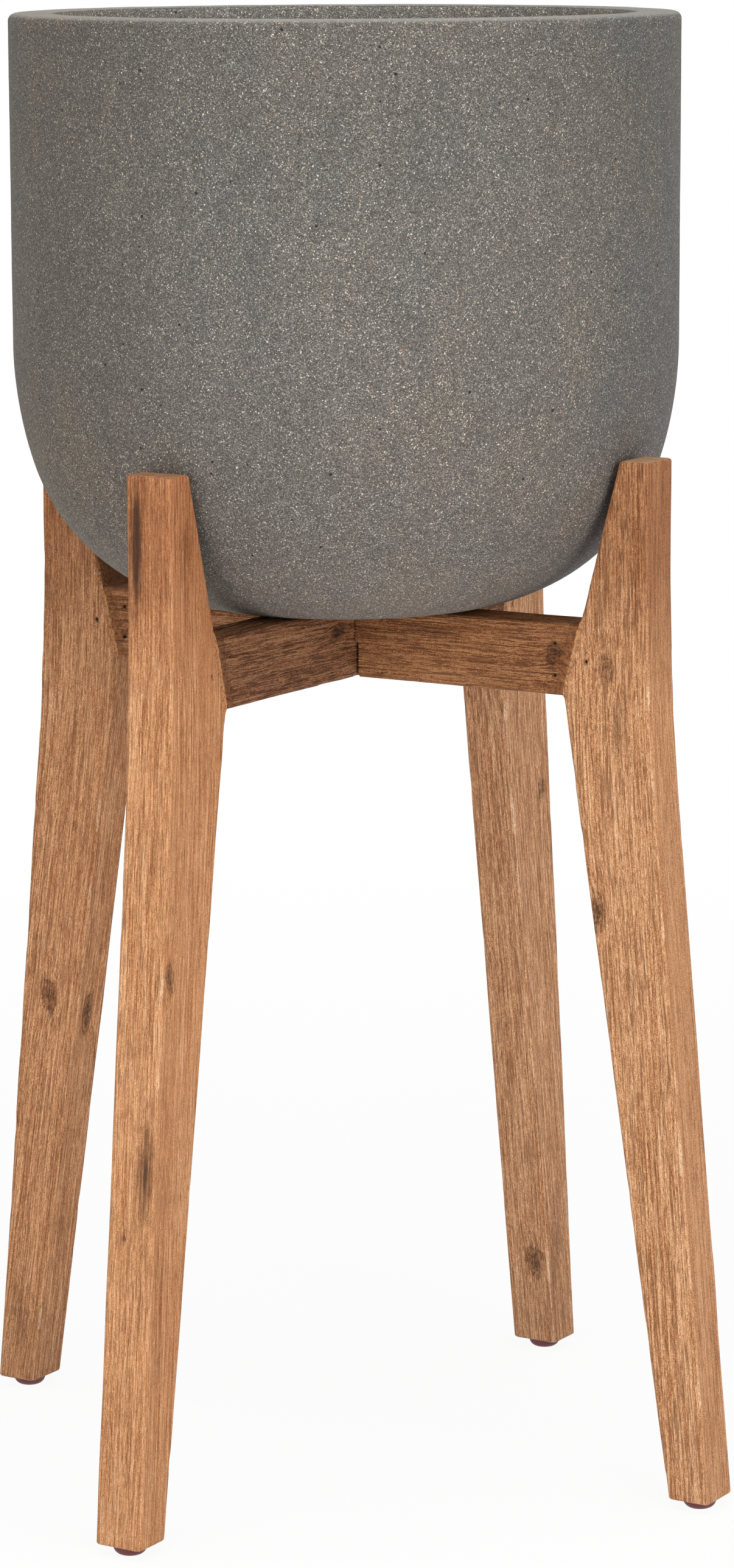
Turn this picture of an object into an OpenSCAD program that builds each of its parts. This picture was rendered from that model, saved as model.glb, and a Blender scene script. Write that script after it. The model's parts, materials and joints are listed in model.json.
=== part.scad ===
// Plant stand: a heavy cast bowl cupped by four splayed wooden legs.
// The legs are joined in two flat frames. Each frame is a pair of opposite legs
// on one crossbar, and the two crossbars cross in a half lap under the bowl.
// Millimetres. X is right, Y is back, Z is up. The origin is on the floor,
// under the middle of the bowl.

/* [Bowl] */
// Outer diameter of the bowl
bowl_d = 380; // [300:1:480]
// Height of the bowl from its flat base to the top of its rim
bowl_h = 336; // [260:1:420]
// Height above the base where the straight side starts to turn in
turn_h = 152; // [120:1:185]
// Radius of the gentle upper curve under the straight side
upper_curve_r = 230; // [200:1:290]
// Diameter of the flat disc that the bowl stands on
base_d = 132; // [100:1:165]
// Thickness of the wall and of the floor
wall_t = 14; // [10:0.5:18]
// Width of the thickened rim, seen from above
rim_w = 26; // [20:0.5:34]
// Depth of the thickened rim
rim_h = 30; // [18:1:45]
// Rounding of the rim's two top edges
rim_round = 4.5; // [2:0.5:7]
// Diameter of the drain hole in the floor
drain_d = 20; // [12:1:30]

/* [Drain plug] */
// Diameter of the plug's flange
plug_flange_d = 34; // [32:1:60]
// Thickness of the flange
plug_flange_t = 4; // [2.5:0.5:6]
// How far the stem stops short of the bowl's underside
plug_recess = 1.5; // [0.5:0.1:4]
// Bevel round the lower end of the stem
plug_bevel = 1.5; // [0.5:0.1:3]

/* [Legs] */
// Thickness of the board that the legs are cut from
leg_t = 30; // [25:0.5:40]
// Width of a leg at its top
leg_top_w = 18; // [14:0.5:26]
// Width of a leg at its foot
foot_w = 26; // [24:0.5:34]
// Height of the leg tops above the crossbars
leg_rise = 93; // [70:1:110]
// How far the outer edge of the foot stands out from that of the leg top
foot_spread = 43; // [25:1:60]
// Radius of the bend in the outer edge
bend_r = 1600; // [700:10:2000]
// Height of that bend above the underside of the crossbars
bend_rise = 8; // [0:1:20]
// Height of the inner corner above the underside of the crossbars
knee_rise = 2; // [0:0.5:5]
// Rounding of the long edges
leg_round = 2.2; // [1:0.1:6]
// Rounding of the sawn ends
leg_end_round = 1.6; // [0.5:0.1:3]

/* [Crossbars] */
// Height of the crossbars' top face above the floor
seat_h = 504; // [350:1:620]
// Width of a crossbar
bar_w = 30; // [24:0.5:40]
// Height of a crossbar
bar_h = 41; // [34:0.5:55]
// Rounding of a crossbar's long edges
bar_round = 2.6; // [1:0.1:5]

/* [Joints] */
// Thickness of the loose tenons
tenon_t = 10; // [7:0.5:14]
// Height of the loose tenons
tenon_h = 25; // [20:0.5:29]
// Length of the loose tenons
tenon_l = 50; // [36:1:64]
// Shank diameter of the brads that pin the tenons
brad_d = 1.4; // [1:0.1:2.5]
// Head diameter of the brads
brad_head_d = 2; // [1.6:0.1:3.5]
// Length of the brads under the head
brad_l = 20; // [15:0.5:24]
// Depth that the heads are sunk below the wood
brad_sink = 1.6; // [0.5:0.1:3]
// Distance of the brads from the joint line
brad_inset = 10; // [7:0.5:16]
// Spacing of the two brads in a crossbar's end
brad_gap = 18; // [10:0.5:20]

/* [Glides] */
// Diameter of the nail-on glides
glide_d = 19; // [14:0.5:23]
// Height of the glides
glide_h = 6; // [5:0.5:9]
// Diameter of the flat that a glide stands on
glide_flat_d = 9; // [6:0.5:12]
// Shank diameter of the glide's nail
nail_d = 2.4; // [1.6:0.1:3.5]
// Head diameter of the glide's nail
nail_head_d = 7; // [5:0.5:9]
// Length of the nail in the wood
nail_l = 16; // [10:0.5:22]

/* [Clearances] */
// Gap between the bowl and the legs that cup it
cup_gap = 3; // [1:0.1:8]
// Gap between the bowl and the crossbars, and under the plug's flange
seat_gap = 0.3; // [0.1:0.05:1]
// Gap on each side of the half lap
lap_gap = 1.5; // [0.2:0.1:2.5]
// Gap round the plug's stem in the drain hole
plug_gap = 0.05; // [0.02:0.01:0.1]
// Glue gap round a tenon, and gap round a brad or nail
glue_gap = 0.1; // [0.05:0.01:0.3]

/* [Hidden] */

CAST = "#6f6c67";
RUBBER = "#26262a";
ACACIA = "#b9804d";
BEECH = "#d8b98c";
STEEL = "#a9a9ad";
MAROON = "#5d2322";

// Headings of the legs, counter-clockwise from +X. The upper crossbar joins
// front right to back left, and the lower one joins front left to back right.
FRONT_LEFT = 225;
FRONT_RIGHT = 315;
BACK_LEFT = 135;
BACK_RIGHT = 45;
// Each frame was nailed lying flat, so all its brads enter one face.
LEFT_FACE = 1;
RIGHT_FACE = -1;

ARC_STEP = 5;        // degrees between the points of a long arc
ROUND_STEP = 15;     // degrees between the points of a small rounding
EDGE_STEPS = 4;      // facets across a leg's rounded edge
BEND_STEPS = 8;      // sections through the bend of a leg
END_STEPS = 3;       // sections through a leg's rounded end
PAST = 1;            // how far a cut runs past the face that it opens
GLUE_ROOM = 1;       // empty depth behind a tenon, nail or brad
JOINT_ROUND = 0.3;   // rounding of a leg's inner edge beside the crossbar
NAIL_HEAD_T = 1.2;
BRAD_HEAD_T = 0.8;
$fn = 64;

// ---- Bowl outline: a straight side, a gentle arc and a tighter one that run
// into each other and into the flat base.
bowl_r = bowl_d / 2;
base_r = base_d / 2;
drain_r = drain_d / 2;
bowl_z = seat_h + seat_gap;
upper_x = bowl_r - upper_curve_r;
reach_x = upper_x - base_r;
lower_curve_r = (reach_x * reach_x + turn_h * turn_h - upper_curve_r * upper_curve_r)
    / (2 * (turn_h - upper_curve_r));
// Angle from the vertical at which the two arcs meet
meet_a = asin((turn_h - lower_curve_r) / (upper_curve_r - lower_curve_r));
meet_h = turn_h - upper_curve_r * sin(meet_a);

// Outer radius of the bowl, and its slope from the vertical, at height h
function bowl_slope(h) =
    h >= turn_h ? 0
    : h >= meet_h ? asin((turn_h - h) / upper_curve_r)
    : asin((lower_curve_r - h) / lower_curve_r);
function bowl_radius(h) =
    h >= meet_h ? upper_x + upper_curve_r * cos(bowl_slope(h))
    : base_r + lower_curve_r * cos(bowl_slope(h));

// Points of an arc round [x, y] from angle a to angle b
function arc(x, y, r, a, b, step = ARC_STEP) =
    let (steps = max(2, ceil(abs(b - a) / step)))
    [for (i = [0:steps]) let (t = a + (b - a) * i / steps) [x + r * cos(t), y + r * sin(t)]];
function after_first(v) = [for (i = [1:len(v) - 1]) v[i]];
function reversed(v) = [for (i = [len(v) - 1:-1:0]) v[i]];

// The side of the bowl below the straight part, from the base up, set in by t
function belly(t) = concat(
    arc(base_r, lower_curve_r, lower_curve_r - t, -90, -meet_a),
    after_first(arc(upper_x, turn_h, upper_curve_r - t, -meet_a, 0))
);

// ---- Crossbars and where the legs stand
bar_z = seat_h - bar_h;              // underside of the crossbars
lap_z = seat_h - bar_h / 2;          // where the half lap meets
leg_top = seat_h + leg_rise;
leg_foot = glide_h;
cup_a = bowl_slope(leg_rise);        // the inner edge lies along the bowl there
inner_top = bowl_radius(leg_rise) + cup_gap / cos(cup_a);
outer_top = inner_top + leg_top_w;
knee_z = bar_z + knee_rise;
outer_foot = outer_top + foot_spread;
inner_foot = outer_foot - foot_w;
foot_x = outer_foot - foot_w / 2;

// Distance from the axis to the slanted joint face, and to the inner edge
function joint_x(z) = inner_top - (leg_top - z) * tan(cup_a);
function inner_x(z) =
    z >= knee_z ? joint_x(z)
    : inner_foot + (joint_x(knee_z) - inner_foot) * (z - leg_foot) / (knee_z - leg_foot);

// Outer edge: upright, a long bend, then the splay
bend_z = bar_z + bend_rise;
splay_a = atan(foot_spread / (bend_z - leg_foot));
bend_run = min(bend_r * tan(splay_a / 2), leg_top - bend_z - leg_end_round);
true_bend_r = bend_run / tan(splay_a / 2);
bend_top = bend_z + bend_run;
bend_low = bend_z - bend_run * cos(splay_a);
function outer_x(z) =
    z >= bend_top ? outer_top
    : z <= bend_low ? outer_foot - (z - leg_foot) * tan(splay_a)
    : outer_top + true_bend_r - sqrt(pow(true_bend_r, 2) - pow(bend_top - z, 2));

// The inner edge is rounded except where the crossbar butts against it, flush
function inner_round(z) = z >= knee_z && z <= seat_h ? JOINT_ROUND : leg_round;

// ---- Sections of a leg: [height, inset], the inset rounding the sawn ends
end_insets = [for (i = [0:END_STEPS])
    let (a = 90 * i / END_STEPS) leg_end_round * [1 - cos(a), 1 - sin(a)]];
bend_heights = [for (i = [0:BEND_STEPS]) bend_low + (bend_top - bend_low) * i / BEND_STEPS];
joint_heights = [knee_z - leg_round, knee_z, seat_h, seat_h + leg_round];
low_end = leg_foot + leg_end_round;
high_end = leg_top - leg_end_round;
plain_heights = [for (z = concat(joint_heights, bend_heights)) if (z > low_end && z < high_end) z];
leg_stations = concat(
    [for (i = [0:END_STEPS]) [leg_foot + end_insets[i][0], end_insets[i][1]]],
    [for (z = sort_up(plain_heights)) [z, 0]],
    [for (i = [END_STEPS:-1:0]) [leg_top - end_insets[i][0], end_insets[i][1]]]
);

function sort_up(v) =
    len(v) < 2 ? v
    : let (
        pivot = v[0],
        below = [for (x = v) if (x < pivot) x],
        above = [for (x = v) if (x > pivot) x]
    ) concat(sort_up(below), pivot, sort_up(above));

// Ring of a rectangle at height z, from x0 to x1 and w wide in Y, with its
// corners rounded by r0 at x0 and by r1 at x1
function ring(x0, x1, w, r0, r1, z) = [
    for (corner = [0:3], i = [0:EDGE_STEPS])
        let (
            a = 90 * (corner + i / EDGE_STEPS),
            outer = corner == 0 || corner == 3,
            r = outer ? r1 : r0,
            cx = outer ? x1 - r : x0 + r,
            cy = corner < 2 ? w / 2 - r : r - w / 2
        ) [cx + r * cos(a), cy + r * sin(a), z]
];
leg_rings = [for (s = leg_stations) let (z = s[0], inset = s[1])
    ring(inner_x(z) + inset, outer_x(z) - inset, leg_t - 2 * inset, inner_round(z), leg_round, z)];

// Solid through a stack of rings with equally many points
module loft(rings) {
    n = len(rings[0]);
    top = len(rings) - 1;
    points = [for (r = rings) each r];
    sides = [for (k = [0:top - 1], i = [0:n - 1])
        let (a = k * n + i, b = k * n + (i + 1) % n)
        each [[a, a + n, b + n], [a, b + n, b]]];
    caps = [[for (i = [0:n - 1]) i], [for (i = [n - 1:-1:0]) top * n + i]];
    polyhedron(points = points, faces = concat(sides, caps), convexity = 4);
}

// ---- Placing
module at(heading) rotate([0, 0, heading]) children();
module at_joint() translate([joint_x(lap_z), 0, lap_z]) children();
module at_foot() translate([foot_x, 0, 0]) children();

// ---- Fastenings, each also used grown by its gap to cut its own hole
module tenon_form(grow = 0, extra = 0) {
    w = tenon_t + 2 * grow;
    h = tenon_h + 2 * grow;
    l = tenon_l + 2 * extra;
    at_joint() translate([-l / 2, 0, 0]) rotate([90, 0, 90]) linear_extrude(l) union() {
        square([w, h - w], center = true);
        for (end = [-1, 1]) translate([0, end * (h - w) / 2]) circle(d = w);
    }
}

// Where the three brads of a joint enter: x and z from the joint's middle, and
// how far out the face lies that they enter, which is the leg's or the crossbar's
brad_spots = [
    [brad_inset, 0, leg_t / 2],
    [-brad_inset, brad_gap / 2, bar_w / 2],
    [-brad_inset, -brad_gap / 2, bar_w / 2],
];
module at_brads(face) {
    for (spot = brad_spots)
        at_joint() translate([spot[0], face * spot[2], spot[1]]) rotate([face * 90, 0, 0])
            children();
}

module brad_form() {
    translate([0, 0, brad_sink]) cylinder(d = brad_head_d, h = BRAD_HEAD_T);
    translate([0, 0, brad_sink + BRAD_HEAD_T]) cylinder(d = brad_d, h = brad_l);
}

module brad_hole() {
    translate([0, 0, -PAST])
        cylinder(d = brad_head_d + 2 * glue_gap, h = PAST + brad_sink + BRAD_HEAD_T);
    translate([0, 0, brad_sink])
        cylinder(d = brad_d + 2 * glue_gap, h = BRAD_HEAD_T + brad_l + GLUE_ROOM);
}

nail_head_z = glide_h / 2;           // underside of the nail's head, inside the glide
nail_top = glide_h + nail_l;
module nail_form(grow = 0, extra = 0) {
    translate([0, 0, nail_head_z - grow])
        cylinder(d = nail_head_d + 2 * grow, h = NAIL_HEAD_T + 2 * grow);
    translate([0, 0, nail_head_z])
        cylinder(d = nail_d + 2 * grow, h = nail_top + extra - nail_head_z);
}

// ---- The pieces
module planter_bowl() {
    inner_r = bowl_r - wall_t;
    mouth_r = bowl_r - rim_w;
    rim_z = bowl_h - rim_h;
    e = rim_round;
    color(CAST) translate([0, 0, bowl_z]) rotate_extrude($fn = 120) polygon(concat(
        [[drain_r, 0]],
        belly(0),
        arc(bowl_r - e, bowl_h - e, e, 0, 90, ROUND_STEP),
        arc(mouth_r + e, bowl_h - e, e, 90, 180, ROUND_STEP),
        [[mouth_r, rim_z], [inner_r, rim_z - (rim_w - wall_t)]],
        reversed(belly(wall_t)),
        [[drain_r, wall_t]]
    ));
}

module drain_plug() {
    stem_r = drain_r - plug_gap;
    flange_r = plug_flange_d / 2;
    flange_z = wall_t + seat_gap;
    flange_round = plug_flange_t / 2;
    color(RUBBER) translate([0, 0, bowl_z]) rotate_extrude() polygon(concat(
        [[0, plug_recess], [stem_r - plug_bevel, plug_recess]],
        [[stem_r, plug_recess + plug_bevel], [stem_r, flange_z], [flange_r, flange_z]],
        arc(flange_r - flange_round, flange_z + flange_round, flange_round, 0, 90, ROUND_STEP),
        [[0, flange_z + plug_flange_t]]
    ));
}

module leg(heading, face) {
    color(ACACIA) at(heading) difference() {
        loft(leg_rings);
        tenon_form(glue_gap, GLUE_ROOM);
        at_brads(face) brad_hole();
        at_foot() nail_form(glue_gap, GLUE_ROOM);
    }
}

// A crossbar along +X and -X, with its half lap cut from the top or from below
module crossbar(heading, cut_top, face) {
    reach = joint_x(seat_h);
    color(ACACIA) at(heading) difference() {
        intersection() {
            translate([-reach, 0, lap_z]) rotate([90, 0, 90]) linear_extrude(2 * reach)
                rounded_section(bar_w, bar_h, bar_round);
            rotate([90, 0, 0]) translate([0, 0, -bar_w]) linear_extrude(2 * bar_w) polygon([
                [-joint_x(bar_z), bar_z], [joint_x(bar_z), bar_z],
                [joint_x(seat_h), seat_h], [-joint_x(seat_h), seat_h]
            ]);
        }
        translate([0, 0, lap_z + (cut_top ? 1 : -1) * bar_h / 2])
            cube([bar_w + 2 * lap_gap, bar_w + 2 * PAST, bar_h], center = true);
        for (end = [0, 1]) at(180 * end) {
            tenon_form(glue_gap, GLUE_ROOM);
            at_brads(end == 0 ? face : -face) brad_hole();
        }
    }
}

module rounded_section(w, h, r) {
    square([w - 2 * r, h], center = true);
    square([w, h - 2 * r], center = true);
    for (x = [-1, 1], y = [-1, 1]) translate([x * (w / 2 - r), y * (h / 2 - r)]) circle(r = r);
}

module crossbar_upper() crossbar(BACK_LEFT, false, LEFT_FACE);
module crossbar_lower() crossbar(FRONT_LEFT, true, LEFT_FACE);

module tenon(heading, face) {
    color(BEECH) at(heading) difference() {
        tenon_form();
        at_brads(face) brad_hole();
    }
}

module brads(heading, face) color(STEEL) at(heading) at_brads(face) brad_form();

module glide(heading) {
    r = glide_d / 2;
    flat_r = glide_flat_d / 2;
    lip = glide_h / 5;
    dome_h = glide_h - lip;
    color(MAROON) at(heading) at_foot() difference() {
        rotate_extrude() polygon(concat(
            [[0, glide_h], [0, 0]],
            [for (a = [0:10:90]) [flat_r + (r - flat_r) * sin(a), dome_h * (1 - cos(a))]],
            [[r, glide_h]]
        ));
        nail_form(glue_gap, PAST);
    }
}

module nail(heading) color(STEEL) at(heading) at_foot() nail_form();

planter_bowl();
drain_plug();
leg(FRONT_LEFT, LEFT_FACE);  // leg_front_left
leg(FRONT_RIGHT, RIGHT_FACE);  // leg_front_right
leg(BACK_LEFT, LEFT_FACE);  // leg_back_left
leg(BACK_RIGHT, RIGHT_FACE);  // leg_back_right
crossbar_upper();
crossbar_lower();
tenon(FRONT_LEFT, LEFT_FACE);  // tenon_front_left
tenon(FRONT_RIGHT, RIGHT_FACE);  // tenon_front_right
tenon(BACK_LEFT, LEFT_FACE);  // tenon_back_left
tenon(BACK_RIGHT, RIGHT_FACE);  // tenon_back_right
brads(FRONT_LEFT, LEFT_FACE);  // brads_front_left
brads(FRONT_RIGHT, RIGHT_FACE);  // brads_front_right
brads(BACK_LEFT, LEFT_FACE);  // brads_back_left
brads(BACK_RIGHT, RIGHT_FACE);  // brads_back_right
glide(FRONT_LEFT);  // glide_front_left
glide(FRONT_RIGHT);  // glide_front_right
glide(BACK_LEFT);  // glide_back_left
glide(BACK_RIGHT);  // glide_back_right
nail(FRONT_LEFT);  // nail_front_left
nail(FRONT_RIGHT);  // nail_front_right
nail(BACK_LEFT);  // nail_back_left
nail(BACK_RIGHT);  // nail_back_right
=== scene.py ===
"""Looks of a plant stand: a cast stone bowl cupped by four splayed, wire-brushed wooden legs.

The packed CAD model is the frame. The bowl, the legs, the crossbars and the glides are rebuilt round it
with finer surfaces, and every other CAD part keeps its shape and gets a material. All sizes are in metres.
"""

import itertools
import json
import math

import bmesh
import bpy
import numpy as np
from mathutils import Matrix, Vector

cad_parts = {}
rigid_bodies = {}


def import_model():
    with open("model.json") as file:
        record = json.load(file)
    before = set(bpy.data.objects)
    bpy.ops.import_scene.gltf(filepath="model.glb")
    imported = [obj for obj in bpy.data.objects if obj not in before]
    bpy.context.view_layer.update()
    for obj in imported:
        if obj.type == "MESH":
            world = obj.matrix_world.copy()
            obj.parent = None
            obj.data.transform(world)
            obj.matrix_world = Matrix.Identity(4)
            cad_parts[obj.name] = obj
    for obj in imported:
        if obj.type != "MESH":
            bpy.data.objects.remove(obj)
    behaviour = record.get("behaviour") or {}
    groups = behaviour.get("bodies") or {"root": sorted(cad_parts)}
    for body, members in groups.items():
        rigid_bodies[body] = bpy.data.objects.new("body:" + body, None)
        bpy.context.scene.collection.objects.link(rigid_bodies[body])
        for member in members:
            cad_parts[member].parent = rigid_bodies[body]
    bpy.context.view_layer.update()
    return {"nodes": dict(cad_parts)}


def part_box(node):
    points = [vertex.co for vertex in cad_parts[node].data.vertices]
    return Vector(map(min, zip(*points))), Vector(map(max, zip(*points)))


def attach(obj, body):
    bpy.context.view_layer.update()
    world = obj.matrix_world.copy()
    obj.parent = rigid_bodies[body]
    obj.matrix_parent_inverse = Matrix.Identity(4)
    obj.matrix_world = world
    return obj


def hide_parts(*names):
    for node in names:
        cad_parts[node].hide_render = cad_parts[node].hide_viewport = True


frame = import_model()

bl_info = {
    "name": "Plant Stand Finisher",
    "version": (1, 0, 0),
    "blender": (4, 5, 0),
    "location": "View3D > Sidebar > Plant Stand",
    "description": "Finishes a cast bowl on a splayed wooden stand round its CAD frame",
    "category": "Object",
}

BAKE_MAP = "OFBake"
CORNERS = ("front_left", "front_right", "back_left", "back_right")
HEADINGS = {"front_left": 225, "front_right": 315, "back_left": 135, "back_right": 45}
# Each frame was nailed lying flat, so its brads enter one face: 1 is the face to the left of a heading.
BRAD_FACES = {"front_left": 1, "front_right": -1, "back_left": 1, "back_right": -1}
# Each crossbar's first end, from which its own x is measured.
BARS = {"crossbar_upper": "back_left", "crossbar_lower": "front_left"}
# Pockets in the boards, each a little wider than what goes in.
MORTISE_WIDTH, MORTISE_HEIGHT, MORTISE_DEPTH = 0.0102, 0.0252, 0.026
BRAD_RADII, BRAD_DEPTHS, BRAD_INSET, BRAD_RISE = (0.0011, 0.0008), (0.0034, 0.021), 0.010, 0.009
NAIL_BORE, NAIL_DEPTH, OUTSIDE = 0.0013, 0.0185, 0.001  # the last is how far a cutter starts outside the wood


# ---------------------------------------------------------------- settings


def length(name, text, default):
    return bpy.props.FloatProperty(name=name, description=text, default=default, min=0.0, unit="LENGTH", precision=4)


def colour(name, text, default):
    return bpy.props.FloatVectorProperty(
        name=name, description=text, default=default, size=3, min=0, max=1, subtype="COLOR"
    )


def number(name, text, default):
    return bpy.props.FloatProperty(name=name, description=text, default=default)


class BowlSettings(bpy.types.PropertyGroup):
    """Shape and finish of the cast bowl."""

    base_radius: length("Base radius", "Radius of the flat disc that the bowl stands on", 0.066)
    turn_height: length("Turn height", "Height above the base where the straight side starts to turn in", 0.152)
    upper_curve: length("Upper curve", "Radius of the gentle curve under the straight side", 0.230)
    wall: length("Wall", "Thickness of the wall and of the floor", 0.014)
    rim_width: length("Rim width", "Width of the thick rim, seen from above", 0.026)
    rim_depth: length("Rim depth", "Depth of the thick rim", 0.030)
    rim_round: length("Rim rounding", "Rounding of the rim's outer top edge", 0.0045)
    mouth_round: length("Mouth rounding", "Rounding of the rim's inner top edge", 0.0022)
    drain_radius: length("Drain radius", "Radius of the drain hole", 0.010)
    unevenness: length("Unevenness", "How far the hand-finished casting dips below a true surface", 0.0005)
    matrix: colour("Matrix", "Colour of the dark binder", (0.080, 0.075, 0.069))
    fine_grit: colour("Fine grit", "Colour of the dense fine grit", (0.225, 0.212, 0.192))
    pale_grit: colour("Pale grit", "Colour of the larger pale grit", (0.76, 0.71, 0.61))
    tan_grit: colour("Tan grit", "Colour of the few tan grains", (0.46, 0.25, 0.13))
    warm_cloud: colour("Warm cloud", "Tint of the brownish clouds", (1.0, 0.96, 0.905))
    cool_cloud: colour("Cool cloud", "Tint of the bluish clouds", (0.945, 0.955, 0.96))


class WoodSettings(bpy.types.PropertyGroup):
    """Shape and finish of the legs and crossbars."""

    board: length("Board", "Thickness of the legs and crossbars", 0.030)
    leg_top_width: length("Leg top width", "Width of a leg at its top", 0.018)
    foot_width: length("Foot width", "Width of a leg at its foot", 0.026)
    leg_rise: length("Leg rise", "Height of the leg tops above the crossbars", 0.093)
    foot_spread: length("Foot spread", "How far the foot stands out from the leg top", 0.043)
    bend_radius: length("Bend radius", "Radius of the bend in the outer edge", 1.6)
    bend_rise: length("Bend rise", "Height of that bend above the underside of the crossbars", 0.008)
    knee_rise: length("Knee rise", "Height of the inner corner above the underside of the crossbars", 0.002)
    leg_round: length("Leg rounding", "Rounding of the legs' long edges", 0.0022)
    end_round: length("End rounding", "Rounding of the sawn ends", 0.0016)
    bar_height: length("Crossbar height", "Height of a crossbar", 0.041)
    bar_round: length("Crossbar rounding", "Rounding of the crossbars' long edges", 0.0026)
    cup_gap: length("Cup gap", "Gap between the bowl and the legs that cup it", 0.003)
    lap_gap: length("Lap gap", "Gap on each side of the half lap", 0.0015)
    brushing: length("Brushing", "Depth of the grooves that wire brushing leaves in the grain", 0.00034)
    groove: colour("Groove", "Colour of the grooves between the hard lines", (0.350, 0.142, 0.052))
    body: colour("Body", "Main colour of the stained wood", (0.535, 0.258, 0.118))
    ridge: colour("Ridge", "Colour of the brushed ridges", (0.715, 0.398, 0.215))
    bare: colour("Bare edge", "Colour of the wood where edges are worn bare", (0.900, 0.680, 0.480))
    dark: colour("Dark pores", "Colour of the pores, knots and scars", (0.060, 0.030, 0.016))
    putty: colour("Putty", "Colour of the putty in the joints", (0.520, 0.240, 0.100))


class TrimSettings(bpy.types.PropertyGroup):
    """Glides, fastenings and plug."""

    glide_radius: length("Glide radius", "Radius of the nail-on glides", 0.0095)
    glide_height: length("Glide height", "Height of the glides", 0.006)
    glide_flat: length("Glide flat", "Radius of the flat that a glide stands on", 0.0045)
    nail_radius: length("Nail radius", "Radius of the glide's nail", 0.0012)
    glide_plastic: colour("Glide plastic", "Colour of the glides", (0.125, 0.027, 0.027))
    steel: colour("Steel", "Colour of the brads and nails", (0.45, 0.45, 0.46))
    rubber: colour("Rubber", "Colour of the drain plug", (0.022, 0.022, 0.024))
    beech: colour("Tenon wood", "Colour of the loose tenons", (0.66, 0.48, 0.29))


class StageSettings(bpy.types.PropertyGroup):
    """Camera, floor and lamps."""

    azimuth: number("Azimuth", "Heading of the camera round the stand, in degrees", -13.2674)
    distance: length("Distance", "Distance of the camera from the middle axis, along the floor", 2.83216)
    height: length("Height", "Height of the camera", 0.90578)
    pitch: number("Pitch", "How far the camera looks down, in degrees", 10.1829)
    yaw: number("Yaw", "How far the camera looks past the middle axis, in degrees", -0.2206)
    roll: number("Roll", "How far the camera leans, in degrees", -0.2184)
    focal: number("Focal length", "Focal length in millimetres for a 36 mm high picture", 113.876)
    floor: colour("Floor", "Colour of the floor", (0.86, 0.86, 0.86))
    sky: number("Surround", "Strength of the light from all round", 0.36)
    left: number("Left lamp", "Power of the large lamp at the front left in watts", 27.0)
    right: number("Right lamp", "Power of the large lamp at the front right in watts", 36.2)
    top: number("Top lamp", "Power of the overhead lamp in watts", 34.0)


# ---------------------------------------------------------------- shader sums


class Signal:
    """An output socket. Sums on it add Math nodes, so shader maths reads as Python."""

    def __init__(self, socket, recipe):
        self.socket = socket
        self.recipe = recipe

    def maths(self, operation, other=0.0):
        return self.recipe.node("ShaderNodeMath", {"operation": operation}, {0: self, 1: other})

    def reflected(self, operation, other):
        return self.recipe.node("ShaderNodeMath", {"operation": operation}, {0: other, 1: self})

    def __add__(self, other):
        return self.maths("ADD", other)

    def __sub__(self, other):
        return self.maths("SUBTRACT", other)

    def __rsub__(self, other):
        return self.reflected("SUBTRACT", other)

    def __mul__(self, other):
        return self.maths("MULTIPLY", other)

    def __truediv__(self, other):
        return self.maths("DIVIDE", other)

    def __rtruediv__(self, other):
        return self.reflected("DIVIDE", other)

    def __neg__(self):
        return self * -1.0

    def __gt__(self, other):
        return self.maths("GREATER_THAN", other)

    def __lt__(self, other):
        return self.maths("LESS_THAN", other)

    __radd__ = __add__
    __rmul__ = __mul__

    def most(self, other):
        return self.maths("MAXIMUM", other)

    def least(self, other):
        return self.maths("MINIMUM", other)

    def rise(self, low, high):
        """0 below low, 1 above high, and smooth between. With low above high it falls instead."""
        return self.recipe.node(
            "ShaderNodeMapRange",
            {"interpolation_type": "SMOOTHSTEP", "clamp": True},
            {"Value": self, "From Min": low, "From Max": high, "To Min": 0.0, "To Max": 1.0},
        )


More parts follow.
